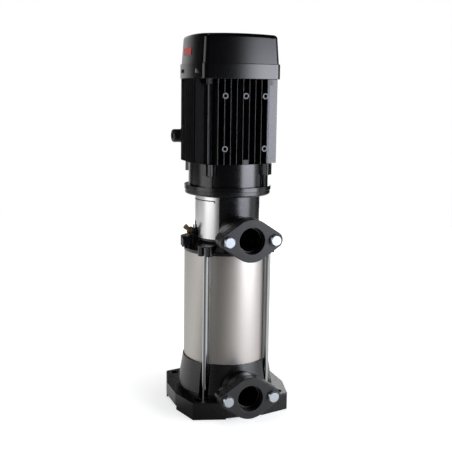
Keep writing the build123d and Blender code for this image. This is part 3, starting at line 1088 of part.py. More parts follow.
band = band_solid(0, FRAME_TOP_Z, BAND_TOP_Z) - band_solid(COVER_WALL, FRAME_TOP_Z - 1, BAND_TOP_Z + 1)
for sx, sy in CORNERS:
    band -= along(cyl(COVER_SCREW_R + BOLT_HOLE_CLEARANCE, 0, COVER_HALF + 10),
                  (0, sy * COVER_SCREW_Y, COVER_SCREW_Z), (sx, 0, 0))
parts["fan_cover_band"] = one(band)
hood_outer = hood_solid(0)
hood = fillet(hood_outer.faces().sort_by(Axis.Z)[-1].outer_wire().edges(), HOOD_EDGE_R)
hood -= hood_solid(-COVER_WALL) & block(-reach, reach, -reach, reach, BAND_TOP_Z - 1, HOOD_TOP_Z)
for k in range(GRILLE_SLOTS):
    slot = block(GRILLE_INNER_R, GRILLE_OUTER_R, -GRILLE_SLOT_HALF, GRILLE_SLOT_HALF,
                 HOOD_TOP_Z - HOOD_DROP - 5, HOOD_TOP_Z + 1)
    hood -= Rot(0, 0, 360 / GRILLE_SLOTS * (k + 0.5)) * slot
parts["fan_cover_hood"] = one(hood)
cover_screws = []
for sx, sy in CORNERS:
    face_x = COVER_HALF + COVER_BULGE * (1 - (COVER_SCREW_Y / COVER_HALF) ** 2)
    screw = cyl(COVER_SCREW_R, face_x - COVER_SCREW_LENGTH, face_x + 0.4)
    screw += cyl(COVER_SCREW_HEAD_R, face_x + 0.3, face_x + 0.3 + COVER_SCREW_HEAD)
    cover_screws.append(one(along(screw, (0, sy * COVER_SCREW_Y, COVER_SCREW_Z), (sx, 0, 0))))
parts["fan_cover_screws"] = cover_screws
plate = block(-COVER_HALF - BADGE_ZONE, -COVER_HALF + BADGE_ZONE,
              BADGE_Y - BADGE_WIDTH / 2, BADGE_Y + BADGE_WIDTH / 2,
              BADGE_Z - BADGE_HEIGHT / 2, BADGE_Z + BADGE_HEIGHT / 2)
plate = (plate & hood_solid(BADGE_T)) - hood_outer
parts["blank_plate"] = one(plate)


# Terminal box and cable gland
# A cast box on the frame's rear pad, its screwed lid, the terminal block and the gland on its left wall.
def rounded_box(half_x, half_z, radius, y0, y1):
    body = block(-half_x, half_x, y0, y1, TERMINAL_Z - half_z, TERMINAL_Z + half_z)
    return fillet(body.edges().filter_by(Axis.Y), radius)


box = rounded_box(TERMINAL_HALF_X, TERMINAL_HALF_Z, TERMINAL_CORNER_R, TERMINAL_PAD_Y, TERMINAL_FACE_Y)
box -= rounded_box(TERMINAL_HALF_X - TERMINAL_WALL, TERMINAL_HALF_Z - TERMINAL_WALL,
                   TERMINAL_CORNER_R - TERMINAL_WALL / 2, TERMINAL_PAD_Y + TERMINAL_WALL, TERMINAL_FACE_Y + 1)
screw_x = TERMINAL_HALF_X - TERMINAL_SCREW_INSET
screw_z = TERMINAL_HALF_Z - TERMINAL_SCREW_INSET
lid = rounded_box(TERMINAL_HALF_X, TERMINAL_HALF_Z, TERMINAL_CORNER_R, TERMINAL_FACE_Y,
                  TERMINAL_FACE_Y + TERMINAL_LID_T)
lid = fillet(lid.faces().sort_by(Axis.Y)[-1].outer_wire().edges(), 1.5)
lid_screws = []
for sx, sy in CORNERS:
    spot = (sx * screw_x, TERMINAL_FACE_Y, TERMINAL_Z + sy * screw_z)
    post = along(cyl(TERMINAL_SCREW_R + 2.5, -TERMINAL_DEPTH + 1, 0), spot, (0, 1, 0))
    box += post
    box -= along(cyl(TERMINAL_SCREW_R + THREAD_FIT, -TERMINAL_SCREW_LENGTH, 1), spot, (0, 1, 0))
    lid -= along(cyl(TERMINAL_SCREW_R + BOLT_HOLE_CLEARANCE, -1, TERMINAL_LID_T + 1), spot, (0, 1, 0))
    screw = cyl(TERMINAL_SCREW_R, TERMINAL_LID_T + 1 - TERMINAL_SCREW_LENGTH, TERMINAL_LID_T)
    screw += cyl(TERMINAL_SCREW_HEAD_R, TERMINAL_LID_T, TERMINAL_LID_T + TERMINAL_SCREW_HEAD)
    screw -= block(-TERMINAL_SCREW_HEAD_R, TERMINAL_SCREW_HEAD_R, -0.5, 0.5, TERMINAL_LID_T + 1,
                   TERMINAL_LID_T + TERMINAL_SCREW_HEAD + 1)
    lid_screws.append(one(along(screw, spot, (0, 1, 0))))
gland_spot = (-TERMINAL_HALF_X, GLAND_Y, TERMINAL_Z)
box -= along(cyl(GLAND_THREAD_R + THREAD_FIT, -TERMINAL_WALL * 2, 1), gland_spot, (-1, 0, 0))
box -= along(cyl(WIRE_HOLE_R, -1, TERMINAL_WALL + 1), (0, TERMINAL_PAD_Y, TERMINAL_Z), (0, 1, 0))
parts["terminal_box"] = one(box)
parts["terminal_box_lid"] = one(lid)
parts["terminal_box_screws"] = lid_screws
block_y = TERMINAL_PAD_Y + TERMINAL_WALL
strip_z = TERMINAL_Z - TERMINAL_STRIP_DROP
terminals = block(-TERMINAL_STRIP_HALF, TERMINAL_STRIP_HALF, block_y, block_y + TERMINAL_STRIP_DEPTH,
                  strip_z, strip_z + TERMINAL_STRIP_HEIGHT)
for n in (-1, 0, 1):
    stud_spot = (n * TERMINAL_STUD_PITCH, block_y + TERMINAL_STRIP_DEPTH, strip_z + TERMINAL_STRIP_HEIGHT / 2)
    terminals += along(cyl(TERMINAL_STUD_R, -1, TERMINAL_STRIP_DEPTH), stud_spot, (0, 1, 0))
parts["terminal_block"] = one(terminals)
gland = cyl(GLAND_THREAD_R, -TERMINAL_WALL - 3, 0)
gland += hexagon(GLAND_AF, 0, GLAND_BODY_LENGTH, 0, 0, FLAT_TO_CORNER_DEG)
gland += cyl(GLAND_THREAD_R - 1, GLAND_BODY_LENGTH, GLAND_BODY_LENGTH + GLAND_NECK_LENGTH)
gland -= cyl(GLAND_CABLE_R + 1, -TERMINAL_WALL - 4, GLAND_BODY_LENGTH + GLAND_NECK_LENGTH + 1)
parts["cable_gland_body"] = one(along(gland, gland_spot, (-1, 0, 0)))
nut_low = GLAND_BODY_LENGTH + GLAND_NUT_GAP
gland_nut = cyl(GLAND_NUT_R, nut_low, nut_low + GLAND_NUT_LENGTH)
gland_nut = fillet(gland_nut.faces().sort_by(Axis.Z)[-1].edges(), 3.5)
gland_nut -= cyl(GLAND_THREAD_R - 1 + THREAD_FIT, nut_low - 1, GLAND_BODY_LENGTH + GLAND_NECK_LENGTH)
gland_nut -= cyl(GLAND_CABLE_R, nut_low, nut_low + GLAND_NUT_LENGTH + 1)
parts["cable_gland_nut"] = one(along(gland_nut, gland_spot, (-1, 0, 0)))


os.makedirs("parts", exist_ok=True)
for name, shape in parts.items():
    if isinstance(shape, list):
        shape = Compound(children=[s if isinstance(s, Solid) else s.solids()[0] for s in shape])
    export_step(shape, "parts/" + name + ".step")
print(len(parts), "nodes")
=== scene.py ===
import math

import bpy
from mathutils import Matrix, Vector


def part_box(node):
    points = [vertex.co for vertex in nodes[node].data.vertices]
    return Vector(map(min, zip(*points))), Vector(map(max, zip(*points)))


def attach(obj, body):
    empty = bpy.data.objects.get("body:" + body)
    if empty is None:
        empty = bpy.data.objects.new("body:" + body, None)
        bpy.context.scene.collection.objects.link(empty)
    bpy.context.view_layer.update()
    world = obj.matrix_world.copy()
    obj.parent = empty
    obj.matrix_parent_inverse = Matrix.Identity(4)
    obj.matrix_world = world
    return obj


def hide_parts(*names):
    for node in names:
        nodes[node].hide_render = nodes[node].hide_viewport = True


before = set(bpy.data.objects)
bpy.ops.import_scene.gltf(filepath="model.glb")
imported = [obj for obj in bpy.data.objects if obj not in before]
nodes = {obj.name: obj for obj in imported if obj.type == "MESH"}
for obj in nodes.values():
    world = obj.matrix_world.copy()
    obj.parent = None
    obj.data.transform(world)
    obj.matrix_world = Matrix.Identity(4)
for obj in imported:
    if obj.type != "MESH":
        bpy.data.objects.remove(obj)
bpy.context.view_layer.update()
scene = bpy.context.scene


# Studio
# A white sweep behind the pump, a darker room in front of it, and large softboxes: what a catalogue
# photograph of machinery is lit with. The camera stands at the photograph's place.
CAMERA_PLACE = Vector((-0.4459, -1.2656, 0.5212))
CAMERA_AIM = Vector((-0.00144, 0.0, 0.29675))
CAMERA_ROLL_DEG = 0.79
CAMERA_LENS = 65.5
CAMERA_SENSOR = 36.0
SWEEP_EDGE = (0.94, 0.99)
ROOM_MIRRORED = 0.015
ROOM_LIGHT = 0.15


def node(tree, kind, inputs=None, **settings):
    # Adds a node with its settings. Each input, by socket name or number, is a value, an output, a node
    # whose first output feeds it, or a list of nodes that all feed it.
    made = tree.nodes.new(kind)
    for key, value in settings.items():
        setattr(made, key, value)
    for key, value in (inputs or {}).items():
        for feed in reversed(value) if isinstance(value, list) else [value]:
            if isinstance(feed, bpy.types.Node):
                feed = feed.outputs[0]
            if isinstance(feed, bpy.types.NodeSocket):
                tree.links.new(feed, made.inputs[key])
            else:
                made.inputs[key].default_value = feed
    return made


def linear(hex_code):
    # An sRGB hex colour as the linear colour that the shaders take.
    channels = [int(hex_code[i:i + 2], 16) / 255 for i in (1, 3, 5)]
    return tuple(c / 12.92 if c <= 0.04045 else ((c + 0.055) / 1.055) ** 2.4 for c in channels) + (1.0,)


def softbox(name, place, aim_height, width, height, power, tint="#FFFFFF", fade=0.3, drop=0.3):
    # A softbox is brightest in its middle: fade and drop are the shares of its width and height over
    # which its sides and its two ends dim.
    lamp = bpy.data.lights.new(name, "AREA")
    lamp.use_nodes = True
    tree = lamp.node_tree
    tree.nodes.clear()
    where = node(tree, "ShaderNodeNewGeometry")
    split = node(tree, "ShaderNodeSeparateXYZ", {0: where.outputs["Parametric"]})
    dims = []
    for axis, share in (("X", fade), ("Y", drop)):
        across = node(tree, "ShaderNodeMath", {0: split.outputs[axis], 1: 0.5}, operation="SUBTRACT")
        offset = node(tree, "ShaderNodeMath", {0: across}, operation="ABSOLUTE")
        dims.append(node(tree, "ShaderNodeMapRange", {"Value": offset, "From Min": 0.5,
                                                      "From Max": 0.5 - share, "To Min": 0.0, "To Max": 1.0},
                         interpolation_type="SMOOTHSTEP"))
    dimmed = node(tree, "ShaderNodeMath", {0: dims[0], 1: dims[1]}, operation="MULTIPLY")
    glow = node(tree, "ShaderNodeEmission", {"Strength": dimmed})
    node(tree, "ShaderNodeOutputLight", {0: glow})
    lamp.shape = "RECTANGLE"
    lamp.size = width
    lamp.size_y = height
    lamp.energy = power
    lamp.color = linear(tint)[:3]
    holder = bpy.data.objects.new(name, lamp)
    holder.location = place
    facing = Vector((0.0, 0.0, aim_height)) - holder.location
    holder.rotation_euler = facing.to_track_quat("-Z", "Y").to_euler()
    holder.visible_camera = False
    scene.collection.objects.link(holder)


camera = bpy.data.objects.new("camera", bpy.data.cameras.new("camera"))
camera.data.lens = CAMERA_LENS
camera.data.sensor_width = CAMERA_SENSOR
aim_turn = (CAMERA_AIM - CAMERA_PLACE).to_track_quat("-Z", "Y").to_matrix().to_4x4()
roll = Matrix.Rotation(math.radians(CAMERA_ROLL_DEG), 4, "Z")
camera.matrix_world = Matrix.Translation(CAMERA_PLACE) @ aim_turn @ roll
scene.collection.objects.link(camera)
scene.camera = camera
scene.view_settings.view_transform = "Standard"

# The room: plain white to the camera, dim as light, and bright to polished metal only behind the pump.
world = bpy.data.worlds.new("studio")
world.use_nodes = True
scene.world = world
tree = world.node_tree
tree.nodes.clear()
path = node(tree, "ShaderNodeLightPath")
seen = node(tree, "ShaderNodeMath", {0: path.outputs["Is Camera Ray"],
                                     1: path.outputs["Is Transmission Ray"]}, operation="MAXIMUM")
way = node(tree, "ShaderNodeTexCoord")
split = node(tree, "ShaderNodeSeparateXYZ", {0: way.outputs["Generated"]})
behind = node(tree, "ShaderNodeMapRange", {"Value": split.outputs["Y"], "From Min": SWEEP_EDGE[0],
                                           "From Max": SWEEP_EDGE[1], "To Min": ROOM_MIRRORED, "To Max": 1.0})
unseen = node(tree, "ShaderNodeMix", {"Factor": path.outputs["Is Glossy Ray"], 2: ROOM_LIGHT, 3: behind},
              data_type="FLOAT")
strength = node(tree, "ShaderNodeMix", {"Factor": seen, 2: unseen, 3: 1.0}, data_type="FLOAT")
background = node(tree, "ShaderNodeBackground", {"Color": linear("#FFFFFF"), "Strength": strength})
node(tree, "ShaderNodeOutputWorld", {"Surface": background})

softbox("right_box", (1.23, -1.32, 0.4), 0.4, 1.73, 1.6, 92.0, tint="#F2F5FF", fade=0.2, drop=0.45)
softbox("side_box", (1.85, -0.1, 0.3), 0.3, 1.2, 1.6, 4.5, tint="#F6F7FF")
softbox("left_box", (-1.88, -0.25, 0.3), 0.3, 1.9, 2.0, 27.0, fade=0.25, drop=0.2)
softbox("back_box", (1.0, 1.7, 0.8), 0.4, 1.1, 1.2, 10.0)
softbox("top_box", (-0.2, -0.3, 2.1), 0.4, 1.0, 0.8, 4.0, tint="#F4F8FF")

# The paper floor. Its own white for the camera is full past the shadow's reach, in metres from the shaft,
# and lower near the foot, where the lamps add the rest, so that the shadow stays.
FLOOR_CORNERS = [(-2.2, -1.25), (1.4, -1.25), (1.4, 2.1), (-2.2, 2.1)]
FLOOR_DROP = 0.0005
PAPER_LIFT = 0.64
SHADOW_REACH = (0.12, 0.34)
# The floor as the polished pieces mirror it is a painted reflection. It glows only to glossy rays, with a
# brightness by bearing in degrees, from the front to the right. A factor paints shade on it, from the shaded
# floor at the foot to the open one. A colour stop holds half its level.
FLOOR_GLOW = [(-180, 0.8), (-140, 1.0), (-115, 1.25), (-95, 0.9), (-75, 0.25), (-40, 0.2), (-25, 0.35),
              (-10, 0.65), (5, 1.0), (20, 1.12), (40, 1.08), (60, 1.05), (80, 1.0), (100, 0.9), (180, 0.8)]
GLOW_REACH = (0.1, 0.3)
GLOW_FACTOR = (0.9, 2.0)
floor_mesh = bpy.data.meshes.new("floor")
floor_mesh.from_pydata([(x, y, 0.0) for x, y in FLOOR_CORNERS], [], [(0, 1, 2, 3)])
floor = bpy.data.objects.new("floor", floor_mesh)
floor.location.z = -FLOOR_DROP
scene.collection.objects.link(floor)
paper = bpy.data.materials.new("white_paper")
paper.use_nodes = True
tree = paper.node_tree
tree.nodes.clear()
path = node(tree, "ShaderNodeLightPath")
spot = node(tree, "ShaderNodeTexCoord")
split = node(tree, "ShaderNodeSeparateXYZ", {0: spot.outputs["Object"]})
forward = node(tree, "ShaderNodeMath", {0: split.outputs["Y"], 1: -1.0}, operation="MULTIPLY")
bearing = node(tree, "ShaderNodeMath", {0: split.outputs["X"], 1: forward}, operation="ARCTAN2")
round_share = node(tree, "ShaderNodeMapRange", {"Value": bearing, "From Min": -math.pi, "From Max": math.pi,
                                                "To Min": 0.0, "To Max": 1.0})
painted_glow_by_bearing = node(tree, "ShaderNodeValToRGB", {"Fac": round_share})
ramp = painted_glow_by_bearing.color_ramp.elements
for angle, level in FLOOR_GLOW[1:-1]:
    ramp.new((angle + 180.0) / 360.0)
for stop, (angle, level) in zip(ramp, FLOOR_GLOW):
    stop.color = (level / 2, level / 2, level / 2, 1.0)
length = node(tree, "ShaderNodeVectorMath", {0: spot.outputs["Object"]}, operation="LENGTH")
clear = node(tree, "ShaderNodeMapRange", {"Value": length.outputs["Value"], "From Min": GLOW_REACH[0],
                                          "From Max": GLOW_REACH[1], "To Min": GLOW_FACTOR[0],
                                          "To Max": GLOW_FACTOR[1]})
painted_floor_glow = node(tree, "ShaderNodeMath", {0: painted_glow_by_bearing, 1: clear}, operation="MULTIPLY")
mirrored = node(tree, "ShaderNodeMath", {0: path.outputs["Is Glossy Ray"], 1: painted_floor_glow}, operation="MULTIPLY")
white = node(tree, "ShaderNodeMapRange", {"Value": length.outputs["Value"], "From Min": SHADOW_REACH[0],
                                          "From Max": SHADOW_REACH[1], "To Min": PAPER_LIFT, "To Max": 1.0})
clean = node(tree, "ShaderNodeMath", {0: path.outputs["Is Camera Ray"], 1: white}, operation="MULTIPLY")
shown = node(tree, "ShaderNodeMath", {0: clean, 1: mirrored}, operation="MAXIMUM")
# To glossy rays the paper's own white turns black, so polished metal mirrors only the painted glow.
matt = node(tree, "ShaderNodeMix", {"Factor": path.outputs["Is Glossy Ray"], 6: linear("#F2F2F2"),
                                    7: linear("#000000")}, data_type="RGBA")
shade = node(tree, "ShaderNodeBsdfDiffuse", {"Color": matt.outputs[2]})
lift = node(tree, "ShaderNodeEmission", {"Color": linear("#FFFFFF"), "Strength": shown})
both = node(tree, "ShaderNodeAddShader", {0: shade, 1: lift})
node(tree, "ShaderNodeOutputMaterial", {"Surface": both})
floor_mesh.materials.append(paper)


# Foot and pump head
# Grey iron cast in sand, fettled and spray painted satin black. The sand leaves a faint grain under the
# paint, drawn coarser than the real 0.3 mm so that it shows, and the paint is thinner on the edges.
MM = 0.001
PAINT_WAVE_MM = 14.0
NOISE_SPAN = (0.3, 0.7)
EDGE_LEAN = 0.86
EVEN = (1.0, 1.0, 1.0)


def grain(tree, size_mm, detail=2.0, run=EVEN):
    # Noise whose blotches are size_mm across on the object. A run under 1 draws them out along that axis.
    place = node(tree, "ShaderNodeTexCoord")
    scaled = node(tree, "ShaderNodeMapping", {"Vector": place.outputs["Object"], "Scale": run})
    return node(tree, "ShaderNodeTexNoise", {"Vector": scaled, "Scale": 1.0 / (size_mm * MM),
                                             "Detail": detail, "Roughness": 0.55})


def surface(name, shades, blotch_mm, run=EVEN, gloss=None, gloss_mm=None, edge_mm=None, worn=None,
            grit_mm=None, depth_mm=None, grit_detail=3.0, **constants):
    # A finish that wanders between two shades in blotches of blotch_mm. Its roughness wanders between the
    # two values of gloss, on patches of gloss_mm or on the same blotches. Its edges are rounded by edge_mm
    # and may be worn to one more shade. A relief depth_mm high follows grit_mm or the blotches.
    made = bpy.data.materials.new(name)
    made.use_nodes = True
    tree = made.node_tree
    shader = tree.nodes["Principled BSDF"]
    for key, value in constants.items():
        shader.inputs[key.replace("_", " ")].default_value = value
    blotches = grain(tree, blotch_mm, run=run)
    colour = node(tree, "ShaderNodeMix", {"Factor": blotches, 6: linear(shades[0]), 7: linear(shades[1])},
                  data_type="RGBA")
    if gloss:
        patches = grain(tree, gloss_mm) if gloss_mm else blotches
        polish = node(tree, "ShaderNodeMapRange", {"Value": patches, "From Min": NOISE_SPAN[0],
                                                   "From Max": NOISE_SPAN[1], "To Min": gloss[0],
                                                   "To Max": gloss[1]})
        tree.links.new(polish.outputs[0], shader.inputs["Roughness"])
    if edge_mm:
        normal = node(tree, "ShaderNodeBevel", {"Radius": edge_mm * MM}, samples=12)
    else:
        normal = None
    if worn:
        flat = node(tree, "ShaderNodeNewGeometry")
        near = node(tree, "ShaderNodeVectorMath", {0: normal, 1: flat.outputs["True Normal"]},
                    operation="DOT_PRODUCT")
        mask = node(tree, "ShaderNodeMapRange", {"Value": near.outputs["Value"], "From Min": 1.0,
                                                 "From Max": EDGE_LEAN, "To Min": 0.0, "To Max": 1.0})
        colour = node(tree, "ShaderNodeMix", {"Factor": mask, 6: colour.outputs[2], 7: linear(worn)},
                      data_type="RGBA")
    if depth_mm:
        relief = {"Height": grain(tree, grit_mm, grit_detail) if grit_mm else blotches,
                  "Distance": depth_mm * MM, "Strength": 1.0}
        if normal:
            relief["Normal"] = normal
        normal = node(tree, "ShaderNodeBump", relief)
    tree.links.new(colour.outputs[2], shader.inputs["Base Color"])
    if normal:
        tree.links.new(normal.outputs[0], shader.inputs["Normal"])
    return made


def black_paint(name, shades, worn, grit_mm, depth_mm, gloss, edge_mm=0.9):
    # Paint wanders slowly in shade, is matter in patches three grains wide, and is worn on its edges.
    return surface(name, shades, PAINT_WAVE_MM, gloss=gloss, gloss_mm=grit_mm * 3, edge_mm=edge_mm, worn=worn,
                   grit_mm=grit_mm, depth_mm=depth_mm, IOR=1.5)


def dress(material, *names):
    # A CAD node keeps its mesh and gets a better material in each of its slots.
    for name in names:
        for place in nodes[name].material_slots:
            place.material = material


cast_paint = black_paint("painted_grey_iron", ("#08080A", "#0C0C0E"), "#17181B", 1.4, 0.0012, (0.24, 0.32))
dress(cast_paint, "base_casting", "pump_head")


# Stages, shaft and seals
# Chambers and impellers pressed and welded from stainless sheet, stacked in the sleeve on a turned shaft,
# with sintered carbon where they rub and nitrile rubber where they seal.
# Pressed sheet looks grey and softly clouded.
pressed_stainless = surface("pressed_stainless", ("#A8A6A1", "#BBB9B4"), 6.0, gloss=(0.25, 0.40),
                            gloss_mm=1.5, Metallic=1.0)
dress(pressed_stainless, "inlet_spider", "stack_spring", "stage_chamber_1", "stage_chamber_2",
      "stage_chamber_3", "stage_chamber_4", "impeller_1", "impeller_2", "impeller_3", "impeller_4")
# Turned bar is brighter, with rings round its axis, drawn coarser than the lathe's 0.1 mm feed.
turned_steel = surface("turned_shaft_steel", ("#B5B5B7", "#CACACC"), 0.4, run=(0.1, 0.1, 3.0),
                       gloss=(0.12, 0.24), gloss_mm=1.0, Metallic=1.0)
dress(turned_steel, "pump_shaft", "shaft_spacers", "shaft_nut", "motor_shaft", "bearing_outer_rings",
      "bearing_inner_rings", "bearing_balls")
# Carbon is a flat grey black, and the rubber a duller black.
sintered_carbon = surface("sintered_carbon", ("#1C1C1D", "#28282A"), 1.0, Roughness=0.5)
dress(sintered_carbon, "lower_bush", "seal_seat", "seal_rotor")
seal_rubber = surface("nitrile_rubber", ("#121212", "#1C1C1C"), 2.0, Roughness=0.7)
dress(seal_rubber, "sleeve_seals")


# Outer sleeve
# Seam-welded stainless tube, clamped between the castings and ground round its circumference to a satin.
# The fine scratches run round it and are drawn coarser than the real grit, so that they show.
satin_stainless = surface("ground_stainless_tube", ("#ABA6A2", "#B9B5B0"), 0.9, run=(0.05, 0.05, 3.0),
                          gloss=(0.38, 0.44), depth_mm=0.0008, Metallic=1.0)
dress(satin_stainless, "outer_sleeve")


# Tie rods
# Drawn stainless bar that holds foot and head together over the sleeve. It is bright and nearly a mirror,
# with faint draw lines along its length.
bright_bar = surface("bright_drawn_bar", ("#A4A7A8", "#B6B9BA"), 0.6, run=(1.0, 1.0, 0.03),
                     gloss=(0.06, 0.13), Metallic=1.0)
dress(bright_bar, "tie_rods")


# Bolts, nuts, screws and washers
# Cold-headed steel fasteners with a zinc plating: a cool bluish white with slight clouding and edges
# rounded by the die.
zinc_plate = surface("zinc_plated_steel", ("#A9B1B8", "#BEC5CB"), 3.0, gloss=(0.36, 0.46), gloss_mm=1.2,
                     edge_mm=0.35, grit_mm=0.5, depth_mm=0.004, grit_detail=2.0, Metallic=1.0)
dress(zinc_plate, "port_flange_bolts", "tie_rod_nuts", "tie_rod_washers", "motor_flange_screws",
      "coupling_screws", "terminal_box_screws", "fan_cover_screws")


# Oval counter flanges and their gaskets
# Forged steel flanges in a rougher charcoal primer, each held by two bolts over a flat fibre gasket. The
# primer looks a shade lighter than the castings, and the gasket is a dull speckled edge.
flange_paint = black_paint("primed_forged_steel", ("#111113", "#19191C"), "#2C2D31", 0.9, 0.02, (0.36, 0.50))
dress(flange_paint, "suction_counter_flange", "discharge_counter_flange")
gasket_fibre = surface("gasket_fibre", ("#1B1B1A", "#2A2926"), 0.8, Roughness=0.85)
dress(gasket_fibre, "port_gaskets")


# Plugs and vent screw
# Blackened steel plugs in the head and the foot. The vent is a turned bronze body with a needle, lifted by
# a straight-knurled knob that is screwed on it: dull gold, darker in the knurl.
blackened = surface("blackened_steel", ("#1E1F21", "#2B2C2F"), 2.0, gloss=(0.30, 0.45), gloss_mm=1.5,
                    edge_mm=0.4, Metallic=0.6)
dress(blackened, "priming_plug", "drain_plug")
bronze = surface("turned_bronze", ("#857052", "#9C8665"), 2.0, gloss=(0.28, 0.42), gloss_mm=1.0, edge_mm=0.3,
                 Metallic=1.0)
dress(bronze, "vent_body", "vent_needle")
VENT_BASE = Vector((-60.8, 0.0, 290.5)) * MM
VENT_TILT_DEG = 39.0
KNOB_SIZES = {"Ridges": 28, "Radius": 4.2 * MM, "Depth": 0.35 * MM, "Low": 10.0 * MM, "Height": 5.0 * MM}


def rule_tree(name, sizes):
    # A geometry node tree with one named input for each size, after the input for the points it starts from.
    tree = bpy.data.node_groups.new(name, "GeometryNodeTree")
    tree.interface.new_socket("Places", in_out="INPUT", socket_type="NodeSocketGeometry")
    for label, value in sizes.items():
        kind = "NodeSocketInt" if isinstance(value, int) else "NodeSocketFloat"
        tree.interface.new_socket(label, in_out="INPUT", socket_type=kind)
    tree.interface.new_socket("Geometry", in_out="OUTPUT", socket_type="NodeSocketGeometry")
    return tree, node(tree, "NodeGroupInput").outputs


def grown(name, tree, shape, material, sizes, places=((0.0, 0.0, 0.0),)):
    # Ends the tree in Realize Instances and Set Material, and turns what it makes into a plain mesh.
    solid = node(tree, "GeometryNodeRealizeInstances", {0: shape})
    painted = node(tree, "GeometryNodeSetMaterial", {"Geometry": solid, "Material": material})
    node(tree, "NodeGroupOutput", {0: painted})
    start = bpy.data.meshes.new(name + "_places")
    start.from_pydata([tuple(p) for p in places], [], [])
    made = bpy.data.objects.new(name, start)
    scene.collection.objects.link(made)
    rule = made.modifiers.new("rule", "NODES")
    rule.node_group = tree
    for item in tree.interface.items_tree:
        if item.in_out == "INPUT" and item.name in sizes:
            rule[item.identifier] = sizes[item.name]
    plain = bpy.data.meshes.new_from_object(made.evaluated_get(bpy.context.evaluated_depsgraph_get()))
    made.modifiers.remove(rule)
    made.data = plain
    plain.name = name
    return made


# A cylinder with two corners for each ridge, every other one drawn in towards the axis.
tree, size = rule_tree("straight knurl", KNOB_SIZES)
corners = node(tree, "ShaderNodeMath", {0: size["Ridges"], 1: 2.0}, operation="MULTIPLY")
blank = node(tree, "GeometryNodeMeshCylinder", {"Vertices": corners, "Side Segments": 4,
                                                "Radius": size["Radius"], "Depth": size["Height"]})
count = node(tree, "GeometryNodeInputIndex")
valley = node(tree, "ShaderNodeMath", {0: count, 1: 2.0}, operation="MODULO")
cut = node(tree, "ShaderNodeMath", {0: valley, 1: size["Depth"]}, operation="MULTIPLY")
share = node(tree, "ShaderNodeMath", {0: cut, 1: size["Radius"]}, operation="DIVIDE")
where = node(tree, "GeometryNodeInputPosition")
inward = node(tree, "ShaderNodeVectorMath", {0: where, 1: (-1.0, -1.0, 0.0)}, operation="MULTIPLY")
pull = node(tree, "ShaderNodeVectorMath", {0: inward, "Scale": share}, operation="SCALE")
knurled = node(tree, "GeometryNodeSetPosition", {"Geometry": blank, "Offset": pull})
middle = node(tree, "ShaderNodeMath", {0: size["Height"], 1: 0.5, 2: size["Low"]}, operation="MULTIPLY_ADD")
lift = node(tree, "ShaderNodeCombineXYZ", {"Z": middle})
raised = node(tree, "GeometryNodeTransform", {0: knurled, "Translation": lift})
knob = grown("vent_knob_knurled", tree, raised, bronze, KNOB_SIZES)
knob.data.transform(Matrix.Translation(VENT_BASE) @ Matrix.Rotation(math.radians(VENT_TILT_DEG - 90), 4, "Y"))
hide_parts("vent_knob")
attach(knob, "vent_handle")


# Coupling and its guards
# A clamp coupling of unpainted cast iron, behind two sprung guards blanked from rolled stainless sheet. The
# iron is dark and rough, and the sheet nearly white with faint rolling lines up and down.
bare_iron = surface("bare_cast_iron", ("#5C5A58", "#6E6C69"), 2.0, gloss=(0.45, 0.60), gloss_mm=1.0,
                    Metallic=1.0)
dress(bare_iron, "coupling_half_left", "coupling_half_right")
rolled_sheet = surface("rolled_stainless_sheet", ("#C8C8C8", "#DADADA"), 0.8, run=(1.0, 1.0, 0.06),
                       gloss=(0.28, 0.34), Metallic=1.0)
dress(rolled_sheet, "coupling_guard_left", "coupling_guard_right")


# Motor frame and shields
# A die-cast aluminium frame with thin fins between two cast shields, drawn together by four long bolts in
# the corner notches. All but the bolts is painted satin black, thinnest on the fin tips, which show as
# fine light lines.
motor_paint = black_paint("painted_die_casting", ("#060608", "#09090B"), "#0E0F11", 0.9, 0.002, (0.20, 0.25),
                          edge_mm=0.6)
dress(motor_paint, "drive_end_shield", "rear_shield")
# Phosphated bolts are a dull middle grey.
dull_bolt = surface("phosphated_long_bolts", ("#5C5E62", "#6A6C70"), 3.0, gloss=(0.52, 0.62), gloss_mm=1.0,
                    Metallic=1.0)
dress(dull_bolt, "motor_long_bolts")

# The frame reaches to Corner at the ends of a row of fins and to Middle in between, along an arc.
frame_low, frame_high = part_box("motor_frame")
FIN_CORNER = 65.7 * MM
FIN_MIDDLE = 69.2 * MM
FIN_BULGE = FIN_MIDDLE - FIN_CORNER
FRAME_SIZES = {
    "Low": frame_low[2], "Height": frame_high[2] - frame_low[2],
    "Fins": 9, "Pitch": 10.1 * MM, "Thickness": 2.6 * MM, "Rounding": 1.15 * MM, "Blank Length": 9.2 * MM,
    "Tip Width": 0.46, "Root Width": 1.6, "Root": 52.0 * MM, "Middle": FIN_MIDDLE,
    "Tip Arc": (FIN_CORNER ** 2 / FIN_BULGE + FIN_BULGE) / 2,
    "Core": 54.5 * MM, "Bore": 49.0 * MM, "Core Sides": 128, "Wire Hole": 8.0 * MM, "Boss Sides": 40,
    "Boss Radius": 4.9 * MM, "Boss Hole": 2.5 * MM, "Boss Length": 18.0 * MM, "Boss Face": 68.4 * MM}
BOSS_ROOT_SHARE = 0.8
BOSS_PLACES = [(-29.0, 25.0), (-29.0, 106.0), (4.5, 106.0), (36.6, 25.0), (36.6, 106.0)]
RIDGE_LOW = (1.0 * MM, -68.6 * MM, frame_low[2])
RIDGE_HIGH = (10.0 * MM, -51.0 * MM, frame_low[2] + 8.0 * MM)
PAD_LOW = (-28.0 * MM, 50.5 * MM, 419.0 * MM)
PAD_HIGH = (28.0 * MM, 70.0 * MM, 463.0 * MM)
PAD_MIDDLE = (0.0, 60.0 * MM, 441.0 * MM)
FACING_TURN = (math.radians(90), 0.0, 0.0)


def block(tree, low, high):
    # A block between two corners.
    plain = node(tree, "GeometryNodeMeshCube", {"Size": tuple(b - a for a, b in zip(low, high))})
    middle = tuple((a + b) / 2 for a, b in zip(low, high))
    return node(tree, "GeometryNodeTransform", {0: plain, "Translation": middle})


